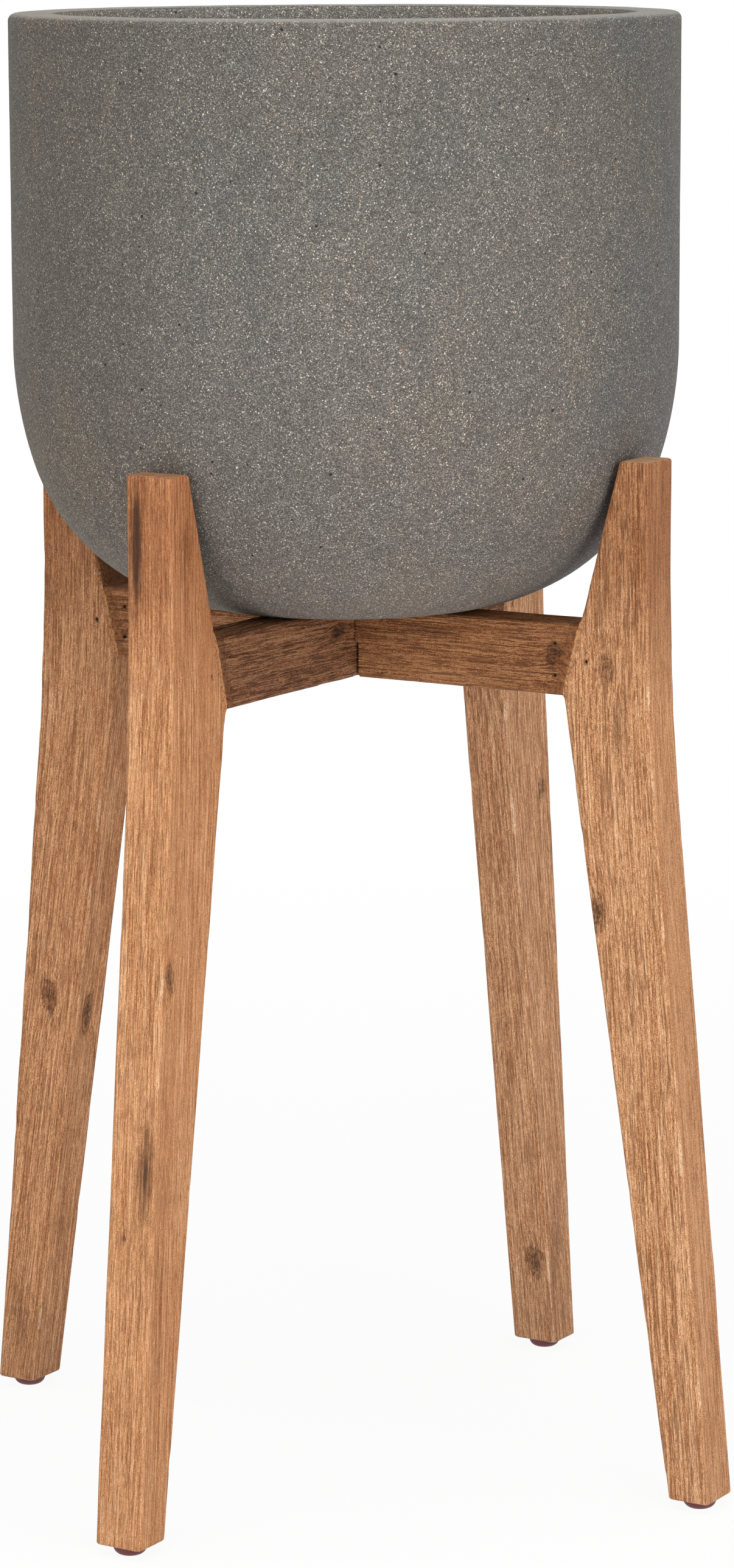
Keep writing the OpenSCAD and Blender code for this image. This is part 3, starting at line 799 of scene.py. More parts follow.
def loft(name, rings, outs, edge, caps, board, leg, depth, flush):
    """A board's skin through rings of equally many points, with both ends closed, brushed along its grain.

    caps holds how many rings close each end. flush is 1 where the surface stays flat, as in a joint."""
    layers, count = rings.shape[:2]
    grown, knot, scar = grow(rings, board, leg)
    height = brush(grown, scar, knot, board)
    ragged = waves(rings * (160, 160, 45), board["seed"] + 9) + 0.6 * waves(rings * 420, board["seed"] + 10)
    worn = board["bare"] * edge**6 * ease(ragged, 0.2 - board["bare"], 0.70)
    chip = edge * ease(waves(rings * (150, 150, 60), board["seed"] + 12), 0.42, 0.80)
    *way, share = board.get("plain", (1, 0, 0.0))
    plain = ease(outs[..., :2] @ np.array(way, float), 0.5, 0.9) * share
    drop = depth * (-height) * (1 - 0.6 * edge) * (1 - 0.7 * plain) + 0.0005 * chip + 0.00010 * edge
    rings = rings - outs * (drop * (1 - flush))[..., None]
    marks = {"ridge": height, "knot": knot, "scar": scar, "worn": np.clip(worn + chip, 0, 1), "plain": plain}
    keep = {key: [value.ravel()] for key, value in marks.items()}
    points, tree = [rings.reshape(-1, 3)], [grown.reshape(-1, 3)]
    index = np.arange(layers * count).reshape(layers, count)
    quads, triangles, tri_maps = [band(index)], [], []
    # The sides' part of the bake map: round the board and along it, with the ends' parts in a strip beside it
    widest = rings[int(np.argmax(np.ptp(rings[..., 0] + rings[..., 2] * (not leg), axis=1)))]
    steps = np.linalg.norm(np.roll(widest, -1, 0) - widest, axis=1)
    u = 0.93 * np.append(0, np.cumsum(steps)) / steps.sum()
    v = np.append(0, np.cumsum(np.linalg.norm(np.diff(rings.mean(1), axis=0), axis=1) + 1e-5))
    grid = np.stack(np.broadcast_arrays(u[None, :], v[:, None] / v[-1]), -1)
    maps = [np.stack([grid[:-1, :-1], grid[:-1, 1:], grid[1:, 1:], grid[1:, :-1]], 2).reshape(-1, 2)]
    start = layers * count
    for end, last in ((0, 0), (1, layers - 1)):
        border = rings[last]
        hub = border.mean(0)
        inner = hub + (border - hub) * np.linspace(1, 0, caps + 1)[1:-1, None, None]
        flat = np.concatenate([inner.reshape(-1, 3), hub[None]])
        cap_grown, cap_knot, cap_scar = grow(flat, board, leg)
        points.append(flat)
        tree.append(cap_grown)
        empty = np.zeros(len(flat))
        capped = {"ridge": empty - 0.45, "knot": cap_knot, "scar": cap_scar, "worn": empty, "plain": empty}
        for key, value in capped.items():
            keep[key].append(value)
        circles = np.concatenate([index[last][None], start + np.arange((caps - 1) * count).reshape(caps - 1, count)])
        quads.append(band(circles) if end else band(circles)[:, [0, 3, 2, 1]])
        fan = [circles[-1], np.roll(circles[-1], -1), np.full(count, start + len(flat) - 1)]
        triangles.append(np.stack(fan if end else [fan[0], fan[2], fan[1]], -1))
        corner, size = border.min(0), np.ptp(border, axis=0).max()
        axes = (1, 0) if leg else (1, 2)
        so_far = np.concatenate(points)
        for faces, held in ((quads[-1], maps), (triangles[-1], tri_maps)):
            spot = (so_far[faces.ravel()] - corner)[:, axes] / size
            held.append(spot * 0.055 + (0.94, 0.02 + 0.08 * end))
        start += len(flat)
    attributes = {key: np.concatenate(value) for key, value in keep.items()} | {"grain": np.concatenate(tree)}
    vertices = turned(np.concatenate(points), board["heading"])
    return make_piece(name, vertices, quads + triangles, np.concatenate(maps + tri_maps), attributes=attributes)


def joint_marks(piece, stand, board, leg):
    """Marks each point with its distance from the nearest glued joint face, in metres."""
    mesh = piece.data
    at = np.zeros(len(mesh.vertices) * 3, np.float32)
    mesh.vertices.foreach_get("co", at)
    local = turned(at.reshape(-1, 3).astype(float), -board["heading"])
    x, z = np.abs(local[:, 0]), local[:, 2]
    sideways = (x - stand.joint_x(z)) * math.cos(stand.cup)
    beyond = np.maximum(np.maximum(z - stand.seat - (0.060 if leg else 0.0), stand.bar_z - z), 0)
    away = np.hypot(sideways, beyond) + np.maximum(z - stand.seat, 0) * 0.11
    made = mesh.attributes.new("seam", "FLOAT", "POINT")
    made.data.foreach_set("value", away.astype(np.float32))


def peg(radii, lengths, start, direction, sides=24):
    """A closed stepped round bar, from start along a direction, with a radius and a length for each step."""
    along = np.array(direction, float)
    side = np.cross(along, (0.31, 0.22, 0.93))
    side /= np.linalg.norm(side)
    up = np.cross(along, side)
    angles = np.linspace(0, 2 * math.pi, sides, endpoint=False)
    circle = np.cos(angles)[:, None] * side + np.sin(angles)[:, None] * up
    ends = np.append(0.0, np.cumsum(lengths))
    rings = [start + along * at + circle * radius for k, radius in enumerate(radii) for at in ends[k:k + 2]]
    return bar_through(rings)


def cutter(name, pegs, heading):
    """One tool object of several pegs that don't meet."""
    points, quads, ngons, start = [], [], [], 0
    for p, walls, caps in pegs:
        points.append(p)
        quads.append(walls + start)
        ngons.extend(c + start for c in caps)
        start += len(p)
    faces = [np.concatenate(quads), *ngons]
    corners = sum(f.size for f in faces)
    spots = np.stack([np.linspace(0.945, 0.995, corners), 0.3 + 0.6 * (np.arange(corners) * 0.618 % 1)], -1)
    return make_piece(name, turned(np.concatenate(points), heading), faces, spots, smooth=False)


def mortise(stand):
    """The stadium-shaped pocket for a loose tenon, across the joint."""
    w, h = MORTISE_WIDTH / 2, MORTISE_HEIGHT / 2
    ring = np.concatenate([arc(0, h - w, w, 0, 180, 16), arc(0, w - h, w, 180, 360, 16)]) + (0, stand.lap_z)
    middle = stand.joint_x(stand.lap_z)
    return bar_through([np.insert(ring, 0, middle + side * MORTISE_DEPTH, axis=1) for side in (-1, 1)])


def brad_pegs(stand, face, spots):
    """Stepped holes for brads, entering the face at y = face * half a board."""
    start = np.array((stand.joint_x(stand.lap_z), face * (stand.board / 2 + OUTSIDE), stand.lap_z))
    return [peg(BRAD_RADII, BRAD_DEPTHS, start + (dx, 0, dz), (0, -face, 0)) for dx, dz in spots]


def mirrored(pegs):
    """The same pegs on the crossbar's other end: turned by half a turn round Z."""
    return [(p * (-1, -1, 1), walls, caps) for p, walls, caps in pegs]


def build_leg(corner, s, stand):
    """Rings up the leg, rounded at both ends and sharp-cornered where the crossbar meets its inner face."""
    board = BOARDS[f"leg_{corner}"] | {"heading": HEADINGS[corner]}
    rnd = s.end_round
    turn = np.radians(np.linspace(0, 90, 6))
    bottom, curve = stand.foot + rnd * (1 - np.cos(turn)), rnd * (1 - np.sin(turn))
    top = (stand.top - rnd * (1 - np.cos(turn)))[::-1]
    shaft = steps_between([
        (bottom[-1], 0.0044), (stand.bar_z - 0.012, 0.0018), (stand.seat + 0.008, 0.0042), (top[0], 0.004),
    ])[1:-1]
    z = np.concatenate([bottom, shaft, top])
    inset = np.concatenate([curve, 0 * shaft, curve[::-1]])
    line = np.stack([0 * z, 0 * z, z], -1)
    radii = [s.leg_round * (1.0 + 0.28 * waves(line * 22 + k * 3.3, board["seed"] + k)) for k in range(4)]
    beside = ease(z, stand.knee - 0.0045, stand.knee - 0.0005) * (1 - ease(z, stand.seat + 0.0005, stand.seat + 0.0045))
    for k in (1, 2):
        radii[k] = radii[k] * (1 - beside) + 0.0003 * beside
    rings2, outs2, edge = section_rings(
        stand.inner(z) + inset, stand.outer(z) - inset, s.board - 2 * inset, radii, (94, 142, 74, 142, 8)
    )
    rings = np.concatenate([rings2, np.broadcast_to(z[:, None, None], rings2.shape[:2] + (1,))], -1)
    outs = np.concatenate([outs2, np.zeros(outs2.shape[:2] + (1,))], -1)
    edge = np.maximum(edge, ((4 * inset / rnd * (1 - inset / rnd)) ** 0.4)[:, None])
    flush = beside[:, None] * np.where(outs2[..., 0] < -0.5, 1.0, 0.0)
    near = np.abs(rings2[..., 0] - stand.joint_x(z)[:, None])
    flush = np.maximum(flush, beside[:, None] * (1 - ease(near, 0.0, 0.0012)) * 0.9)
    piece = loft(f"brushed_leg_{corner}", rings, outs, edge, 9, board, True, s.brushing, flush)
    nail = peg((NAIL_BORE,), (NAIL_DEPTH,), (stand.foot_x, 0, stand.foot - OUTSIDE), (0, 0, 1))
    carve(piece, [
        cutter("mortise", [mortise(stand), nail], board["heading"]),
        cutter("brad_holes", brad_pegs(stand, BRAD_FACES[corner], [(BRAD_INSET, 0.0)]), board["heading"]),
    ])
    joint_marks(piece, stand, board, True)
    return piece


def build_bar(name, s, stand):
    """A crossbar with its half lap, cut to the legs' slant at both ends."""
    board = BOARDS[name] | {"heading": HEADINGS[BARS[name]]}
    lower = name == "crossbar_lower"
    notch = s.board / 2 + s.lap_gap
    outward = steps_between([(0.0, 0.021), (0.90, 0.0085), (1.0, 0.0085)])
    # The section stands in (y, z): its first axis is z, so side 0 is the top face
    half = np.ones(1) * s.bar_height / 2
    flat, outs2, edge = section_rings(-half, half, s.board, [np.ones(1) * s.bar_round] * 4, (92, 124, 92, 124, 7))
    yz = np.stack([-flat[0, :, 1], flat[0, :, 0] + stand.lap_z], -1)
    out = np.stack([np.zeros(len(yz)), -outs2[0, :, 1], outs2[0, :, 0]], -1)
    cut = (np.minimum if lower else np.maximum)(yz[:, 1], stand.lap_z)
    reach = stand.joint_x(yz[:, 1])

    def half_bar(side, steps):
        return [(side * (notch + k * (reach - notch)), yz[:, 1]) for k in steps]

    lap = [(np.full(len(yz), x), cut) for x in np.linspace(-notch, notch, 14)]
    layers = half_bar(-1, outward[::-1]) + lap + half_bar(1, outward)
    rings = np.stack([np.stack([x, yz[:, 0], z], -1) for x, z in layers])
    flush = (np.abs(rings[..., 2] - yz[None, :, 1]) > 1e-9) * 1.0
    away = np.abs(np.abs(rings[..., 0]) - stand.joint_x(rings[..., 2]))
    flush = np.maximum(flush, 1 - ease(away, 0.0, 0.0014))
    edge = np.broadcast_to(edge, rings.shape[:2]) * (1 - flush)
    depth = s.brushing * (2.3 if lower else 1.6)
    piece = loft(f"brushed_{name}", rings, np.broadcast_to(out, rings.shape), edge, 4, board, False, depth, flush)
    mend(piece)
    spots = [(-BRAD_INSET, BRAD_RISE), (-BRAD_INSET, -BRAD_RISE)]
    mortises = [mortise(stand), *mirrored([mortise(stand)])]
    brads = brad_pegs(stand, 1, spots) + mirrored(brad_pegs(stand, -1, spots))
    carve(piece, [cutter("mortises", mortises, board["heading"]), cutter("brad_holes", brads, board["heading"])])
    joint_marks(piece, stand, board, False)
    return piece


def wood_material(name, s, board, leg):
    """Stained wood, wire-brushed: pale ridges, dark grooves and pores, knots, scars, worn edges and putty."""
    r = Recipe(f"brushed_wood_{name}")
    grain, place = r.attribute("grain", "Vector"), r.place()
    ridge, knot, scar, worn, seam, plain = map(r.attribute, ("ridge", "knot", "scar", "worn", "seam", "plain"))
    bands = r.noise(grain, (80, 72, 1.7), 3, 0.55)
    tints = r.noise(grain, (55, 50, 9), 3, 0.6, (5, 2, 9))
    lines = r.noise(grain, (2150, 2050, 15), 1, 0.6)
    hair = r.noise(grain, (2500, 2400, 330), 1, 0.6)
    mottle = r.noise(grain, (60, 60, 26), 3, 0.6)
    dust = r.noise(grain, (2500, 2500, 1900), 1, 0.7)
    fleck = r.noise(grain, (1500, 1300, 150), 1, 0.5)
    pore = r.noise(grain, (1900, 1800, 105), 1, 0.5, (2, 7, 1))
    height = 1.0 + ridge  # about 0 in a groove and 1 on a hard line
    contrast = (1.0 - plain) * board["contrast"]
    brushed = board.get("relief", 1.0)
    level = 0.56 + (height - 0.60) * (0.14 + 0.24 * brushed)
    level = level + ((lines - 0.5) + (hair - 0.5) * 1.05) * contrast + (dust - 0.5) * (1.75 * board["contrast"])
    level = level + (bands - 0.5) * 0.20 + (tints - 0.5) * 0.20
    shade = r.ramp(level, [
        (0.02, (0.195, 0.060, 0.015)), (0.26, tuple(s.groove)), (0.50, tuple(s.body)),
        (0.76, tuple(s.ridge)), (1.0, (0.860, 0.580, 0.370)),
    ])
    shade = r.blend(shade, (0.50, 0.195, 0.065), tints.rise(0.52, 0.68) * 0.14)
    each_metre = 0.75 / board["spacing"]
    off = r.noise(grain, (each_metre, each_metre * 0.95, 17), 1, 0.5, (4, 8, 3)) - 0.5
    thin = each_metre * 0.00015
    broken = r.noise(grain, (800, 800, 75), 1, 0.6, (9, 1, 4)).rise(0.42, 0.60)
    crack = off.most(-off).rise(thin * 1.3, thin * 0.3) * (broken * 0.9 + 0.1) * (1.0 - plain)
    shade = r.blend(shade, (0.215, 0.088, 0.034), crack * board["cracks"])
    shade = r.blend(shade, (0.93, 0.90, 0.88), plain.rise(0.0, 0.3), "MULTIPLY")
    pits = pore.rise(0.60, 0.68) * mottle.rise(0.36, 0.58) * (1.0 - height * 0.3)
    shade = r.blend(shade, (0.150, 0.050, 0.018), pits * 0.72)
    dark = fleck.rise(0.52, 0.70) * (scar * 1.2 + knot * 0.4)
    dark = dark.most(scar.rise(0.10, 0.9) * (1.15 - height) * 0.85)
    eye = knot + (r.noise(place, (420, 420, 300), 2, 0.6) - 0.5) * knot.rise(0.02, 0.3) * 0.9
    dark = dark.most(eye.rise(0.22, 0.34) * eye.rise(0.56, 0.40) * (0.15 + fleck.rise(0.56, 0.44) * 0.55))
    dark = dark.most(eye.rise(0.50, 0.80) * (0.35 + hair.rise(0.58, 0.44) * 0.50))
    shade = r.blend(shade, tuple(s.dark), dark.least(0.88))
    shade = r.blend(shade, (0.62, 0.53, 0.46), knot.rise(0.03, 0.5) * 0.6, "MULTIPLY")
    # Bare wood on worn edges
    pale = worn.rise(0.10, 0.70) * (hair * 0.5 + dust * 0.5).rise(0.38, 0.56)
    shade = r.blend(shade, tuple(s.bare), pale * 0.70)
    # Putty smeared along the joints, in flat flakes
    flake = r.noise(place, 230, 3, 0.7)
    crust = r.noise(place, 520, 3, 0.65, (3, 1, 4))
    reach = 0.0040 if leg else 0.0070
    film = (seam + (flake - 0.5) * (reach * 2.8)).rise(reach, reach - 0.0018)
    smear = film * (crust - seam * 9.0).rise(0.430, 0.455)
    shade = r.blend(shade, (0.230, 0.100, 0.042), film * 0.55)
    shade = r.blend(shade, (0.090, 0.036, 0.016), film * crust.rise(0.40, 0.425) * crust.rise(0.46, 0.435) * 0.45)
    putty = r.blend(tuple(s.putty), (0.62, 0.40, 0.24), (dust * 0.5 + flake * 0.5).rise(0.46, 0.62) * 0.8)
    shade = r.blend(shade, putty, smear * (0.60 + hair * 0.7))
    # End grain drinks more stain
    facing = r.split(r.node("ShaderNodeTexCoord", output="Normal"))
    ends = facing[2].most(-facing[2]).rise(0.72, 0.95) if leg else 0.0
    if leg:
        rings = r.noise(grain, (700, 90, 4), 2, 0.6)
        sawn = r.blend(*board["sawn"], rings.rise(0.35, 0.62))
        sawn = r.blend(sawn, (0.07, 0.04, 0.025), pore.rise(0.57, 0.66) * 0.6)
        shade = r.blend(shade, sawn, ends * 0.9)
        # A leg's top, beside and under the bowl, is darker: partly stain and partly painted shade from the bowl above
        # it
        low = r.split(place)[2]
        stain_and_bowl_shade = (low + (tints - 0.5) * 0.10).rise(0.455, 0.560) * 0.95
        shade = r.blend(shade, board["stain"], stain_and_bowl_shade, "MULTIPLY")
        dirt = (low + (mottle - 0.5) * 0.16).rise(0.085, 0.0) * board["foot_dirt"]
        shade = r.blend(shade, (0.175, 0.110, 0.068), dirt * 0.75)
    shade = r.blend(shade, board["tint"], 1.0, "MULTIPLY")
    relief = lines * 0.4 - crack * 0.6 + hair * 0.3 + dust * 0.3 - dark * 0.5 - pits * 0.4 + smear * 0.9 - film * 0.4
    normal = r.bump(relief, 0.00040 * brushed, 0.9)
    rough = 0.74 - height * 0.08 + smear * 0.12 + dark * 0.1
    return r.finish(shade, rough, normal, specular=0.32)


# ---------------------------------------------------------------- geometry nodes


class NodeTree(Recipe):
    """A geometry node tree being built in script, with its sizes as named inputs."""

    def __init__(self, name, sizes):
        self.tree = bpy.data.node_groups.new(name, "GeometryNodeTree")
        self.sizes = sizes
        face = self.tree.interface
        face.new_socket("Geometry", in_out="OUTPUT", socket_type="NodeSocketGeometry")
        face.new_socket("Geometry", in_out="INPUT", socket_type="NodeSocketGeometry")
        self.ids = {}
        for label, value in sizes.items():
            made = face.new_socket(label, in_out="INPUT", socket_type="NodeSocketFloat")
            made.default_value = value
            self.ids[label] = made.identifier
        self.geometry, *self.given = self.outputs("NodeGroupInput", ("Geometry", *sizes))

    def end(self, geometry, material):
        """Realizes instances, sets the material and joins the result to the output."""
        real = self.node("GeometryNodeRealizeInstances", None, {"Geometry": geometry})
        result = self.node("GeometryNodeSetMaterial", None, {"Geometry": real, "Material": material})
        self.node("NodeGroupOutput", None, {"Geometry": result}, None)

    def run(self, name, points, edges=()):
        """Runs the tree on a mesh of loose points or edges, and gives the result as a plain mesh object."""
        seed_mesh = bpy.data.meshes.new(name)
        seed_mesh.from_pydata([tuple(p) for p in points], list(edges), [])
        piece = bpy.data.objects.new(name, seed_mesh)
        bpy.context.scene.collection.objects.link(piece)
        modifier = piece.modifiers.new("tree", "NODES")
        modifier.node_group = self.tree
        for label, value in self.sizes.items():
            modifier[self.ids[label]] = value
        plain = bpy.data.meshes.new_from_object(piece.evaluated_get(bpy.context.evaluated_depsgraph_get()))
        piece.modifiers.remove(modifier)
        piece.data = plain
        bpy.data.meshes.remove(seed_mesh)
        if not len(plain.polygons):
            raise RuntimeError(f"the tree of {name} made no faces")
        mend(piece, outside=True)
        return piece


def build_glides(s, stand, material):
    """Four domed glides, made by a tree that lathes an outline by bending a grid round an axis."""
    g = NodeTree("nail_on_glides", {
        "Radius": s.glide_radius, "Height": s.glide_height, "Flat radius": s.glide_flat, "Bore": s.nail_radius + 0.0001,
    })
    radius, height, flat, bore = g.given
    sides, steps = 48, 12
    rows = steps + 5

    def choose(mask, yes, no):
        values = {"Factor_Float": mask, "A_Float": no, "B_Float": yes}
        return g.node("ShaderNodeMix", {"data_type": "FLOAT"}, values, "Result_Float")

    grid = g.node("GeometryNodeMeshGrid", None, {
        "Size X": 1.0, "Size Y": 1.0, "Vertices X": sides + 1, "Vertices Y": rows,
    })
    index = g.node("GeometryNodeInputIndex")
    row = index.maths("MODULO", float(rows))
    turn = ((index + 0.5) / float(rows)).maths("FLOOR") * (2 * math.pi / sides)
    angle = (row - 1.0).most(0.0).least(float(steps)) / float(steps) * (math.pi / 2)
    # Rows 0 to the last: the bore's lower end, the flat and dome, the lip, and the bore's upper end and floor
    hub, lip = 1.0 - (row > 0.5), row > steps + 1.5
    x = choose(lip, radius, flat + (radius - flat) * angle.maths("SINE"))
    x = choose(row > steps + 2.5, bore, choose(hub, bore, x))
    z = height * 0.8 * (1.0 - angle.maths("COSINE"))
    z = choose(row > steps + 3.5, 0.0, choose(lip, height, choose(hub, 0.0, z)))
    spot = g.node("ShaderNodeCombineXYZ", None, {
        "X": x * turn.maths("COSINE"), "Y": x * turn.maths("SINE"), "Z": z,
    })
    lathed = g.node("GeometryNodeSetPosition", None, {"Geometry": grid, "Position": spot})
    joined = g.node("GeometryNodeMergeByDistance", None, {"Geometry": lathed, "Distance": 1e-6})
    smooth = g.node("GeometryNodeSetShadeSmooth", None, {"Geometry": joined, "Shade Smooth": True})
    points = g.node("GeometryNodeMeshToPoints", None, {"Mesh": g.geometry})
    g.end(g.node("GeometryNodeInstanceOnPoints", None, {"Points": points, "Instance": smooth}), material)
    return g.run("glides", [turned(np.array([stand.foot_x, 0.0, 0.0]), HEADINGS[c]) for c in CORNERS])


def build_putty(stand, s, material):
    """Beads of putty pressed into the joints, thin and patchy, along each crossbar's end."""
    g = NodeTree("putty_beads", {"Spacing": 0.0008, "Thickness": 0.0007, "Wander": 0.0011, "Seed": 4.0})
    spacing, thickness, wander, seed = g.given
    place = g.node("GeometryNodeInputPosition")

    def lumps(scale, detail, output):
        values = {"Vector": place, "W": seed, "Scale": scale, "Detail": detail}
        return g.node("ShaderNodeTexNoise", {"noise_dimensions": "4D"}, values, output)

    line = g.node("GeometryNodeMeshToCurve", None, {"Mesh": g.geometry})
    fine = g.node("GeometryNodeResampleCurve", {"mode": "LENGTH"}, {"Curve": line, "Length": spacing})
    values = {0: lumps(420.0, 1.0, "Color"), 1: (0.5, 0.5, 0.5)}
    centred = g.node("ShaderNodeVectorMath", {"operation": "SUBTRACT"}, values)
    offset = g.node("ShaderNodeVectorMath", {"operation": "SCALE"}, {0: centred, "Scale": wander})
    moved = g.node("GeometryNodeSetPosition", None, {"Geometry": fine, "Offset": offset})
    swell = thickness * (lumps(260.0, 2.0, "Fac") * 2.4 - 0.45)
    thick = g.node("GeometryNodeSetCurveRadius", None, {"Curve": moved, "Radius": swell.most(0.0001)})
    bead = g.node("GeometryNodeCurveToMesh", None, {
        "Curve": thick, "Fill Caps": True, "Scale": g.node("GeometryNodeInputRadius"),
        "Profile Curve": g.node("GeometryNodeCurvePrimitiveCircle", None, {"Resolution": 7, "Radius": 1.0}),
    })
    g.end(g.node("GeometryNodeSetShadeSmooth", None, {"Geometry": bead, "Shade Smooth": True}), material)
    points, edges = [], []
    half, sunk, clear, under = s.board / 2, 0.00055, 0.003, 0.0002
    for corner in CORNERS:
        zs = np.linspace(stand.bar_z + clear, stand.seat - clear, 12)
        ys = np.linspace(-half + clear, half - clear, 10)
        runs = [(stand.joint_x(zs), side * (half - sunk), zs) for side in (-1, 1)]
        runs += [(stand.joint_x(z) - under, ys, z + lift) for z, lift in ((stand.seat, -under), (stand.bar_z, under))]
        for run in runs:
            spots = turned(np.stack(np.broadcast_arrays(*run), -1), HEADINGS[corner])
            edges.extend((k, k + 1) for k in range(len(points), len(points) + len(spots) - 1))
            points.extend(spots)
    return g.run("joint_putty", points, edges)


# ---------------------------------------------------------------- trim materials


def trim_material(name, base, noises, stains, rough, bump, **rest):
    """A plain finish: noises are (factors, detail, rough), and stains are (noise, from, to, strength, colour).

    rough holds the roughness and how much each noise adds to it, and bump is (noise, depth, strength)."""
    r = Recipe(name)
    place = r.place()
    fields = [r.noise(place, *noise) for noise in noises]
    base = tuple(base)
    for which, low, high, strength, stain in stains:
        base = r.blend(base, stain, fields[which].rise(low, high) * strength)
    roughness = rough[0]
    for field, share in zip(fields, rough[1:]):
        roughness = field * share + roughness
    return r.finish(base, roughness, r.bump(fields[bump[0]], *bump[1:]), **rest)


def putty_material(s):
    return trim_material(
        "wood_putty", s.putty, [(900, 2, 0.6), (260, 2, 0.6)], [(1, 0.46, 0.66, 0.8, (0.36, 0.165, 0.070))],
        (0.8, 0.1), (0, 0.0002, 0.7), specular=0.3,
    )


def plastic_material(s):
    """Moulded plastic, scuffed and dusty on its crown."""
    r = Recipe("dark_red_plastic")
    place = r.place()
    scuff = r.noise(place, (620, 620, 1500), 3, 0.65)
    dust = r.noise(place, 190, 3, 0.6)
    low = r.split(place)[2].rise(0.0036, 0.0002)
    base = r.blend(tuple(s.glide_plastic), (0.240, 0.095, 0.080), (dust * 0.6 + low * 0.4).rise(0.35, 0.8) * 0.5)
    base = r.blend(base, (0.080, 0.018, 0.016), scuff.rise(0.58, 0.75) * 0.5)
    return r.finish(base, 0.42 + scuff * 0.25, r.bump(scuff, 0.00012, 0.6))


def brad_material():
    """Blued steel, near black in its hole."""
    return trim_material(
        "blued_steel", (0.018, 0.014, 0.012), [(900, 2, 0.6)], [(0, 0.45, 0.65, 1.0, (0.050, 0.030, 0.020))],
        (0.75, 0.2), (0, 0.00006, 0.5), specular=0.2,
    )


def steel_material(s):
    return trim_material(
        "drawn_steel", s.steel, [((2400, 2400, 240), 2, 0.6), (700, 2, 0.6)],
        [(1, 0.38, 0.56, 0.9, (0.085, 0.055, 0.040))], (0.34, 0.25, 0.2), (0, 0.00006, 0.5), metallic=1.0,
    )


def rubber_material(s):
    return trim_material(
        "black_rubber", s.rubber, [(1400, 3, 0.6), (240, 3, 0.6)], [(1, 0.52, 0.74, 0.55, (0.085, 0.080, 0.072))],
        (0.62, 0.2), (0, 0.00010, 0.6),
    )


def tenon_material(s):
    """Plain planed wood, fluted along its length."""
    stains = [(1, 0.42, 0.70, 0.7, (0.46, 0.30, 0.165)), (0, 0.64, 0.74, 0.5, (0.30, 0.185, 0.10))]
    return trim_material(
        "planed_beech", s.beech, [(900, 2, 0.6), ((120, 120, 1400), 3, 0.6)], stains,
        (0.66, 0.1), (1, 0.00015, 0.6), specular=0.3,
    )


# ---------------------------------------------------------------- operators


def settings():
    """The sizes and colours of the bowl, the wood, the trim and the stage."""
    scene = bpy.context.scene
    return scene.bowl_settings, scene.wood_settings, scene.trim_settings, scene.stage_settings


def stand_shape():
    """The outlines of the legs and crossbars, for the sizes as they are set."""
    bowl, wood, _, _ = settings()
    return StandShape(wood, BowlOutline(bowl))


class PLANTSTAND_OT_bowl(bpy.types.Operator):
    """Cast the bowl: a lathed wall with a thick rim, in speckled stone"""

    bl_idname = "plantstand.bowl"
    bl_label = "Cast bowl"

    def execute(self, context):
        bowl = settings()[0]
        wear(build_bowl(bowl), stone_material(bowl), "bowl", "cast_stone", "planter_bowl")
        return {"FINISHED"}


class PLANTSTAND_OT_legs(bpy.types.Operator):
    """Make the four legs: lofted, brushed along the grain, mortised and bored"""

    bl_idname = "plantstand.legs"
    bl_label = "Legs"

    def execute(self, context):
        wood, stand = settings()[1], stand_shape()
        for corner in CORNERS:
            node = f"leg_{corner}"
            material = wood_material(node, wood, BOARDS[node], True)
            wear(build_leg(corner, wood, stand), material, "stand", "acacia", node)
        return {"FINISHED"}


class PLANTSTAND_OT_crossbars(bpy.types.Operator):
    """Make the two crossbars with their half lap"""

    bl_idname = "plantstand.crossbars"
    bl_label = "Crossbars"

    def execute(self, context):
        wood, stand = settings()[1], stand_shape()
        for node in BARS:
            wear(build_bar(node, wood, stand), wood_material(node, wood, BOARDS[node], False), "stand", "acacia", node)
        return {"FINISHED"}


class PLANTSTAND_OT_putty(bpy.types.Operator):
    """Press putty into the joints between the legs and the crossbars"""

    bl_idname = "plantstand.putty"
    bl_label = "Joint putty"

    def execute(self, context):
        wood = settings()[1]
        material = putty_material(wood)
        wear(build_putty(stand_shape(), wood, material), material, "stand", "acacia")
        return {"FINISHED"}


class PLANTSTAND_OT_glides(bpy.types.Operator):
    """Make the four domed glides under the feet"""

    bl_idname = "plantstand.glides"
    bl_label = "Glides"

    def execute(self, context):
        trim = settings()[2]
        material = plastic_material(trim)
        piece = build_glides(trim, stand_shape(), material)
        wear(piece, material, "stand", "glide_plastic", *(f"glide_{c}" for c in CORNERS))
        return {"FINISHED"}


class PLANTSTAND_OT_fastenings(bpy.types.Operator):
    """Give the tenons, brads, nails and drain plug their materials"""

    bl_idname = "plantstand.fastenings"
    bl_label = "Fastenings and plug"

    def execute(self, context):
        trim = settings()[2]
        finishes = {
            "tenon": tenon_material(trim), "brads": brad_material(), "nail": steel_material(trim),
            "drain": rubber_material(trim),
        }
        for name, node in frame["nodes"].items():
            material = finishes.get(name.split("_")[0])
            if material is not None:
                node.data.materials.clear()
                node.data.materials.append(material)
        return {"FINISHED"}


def backdrop_share(r):
    """1 for rays from the camera and for reflections, which see the plain white background."""
    camera, glossy, clear = r.outputs("ShaderNodeLightPath", ("Is Camera Ray", "Is Glossy Ray", "Is Transmission Ray"))
    return camera.most(glossy).most(clear)


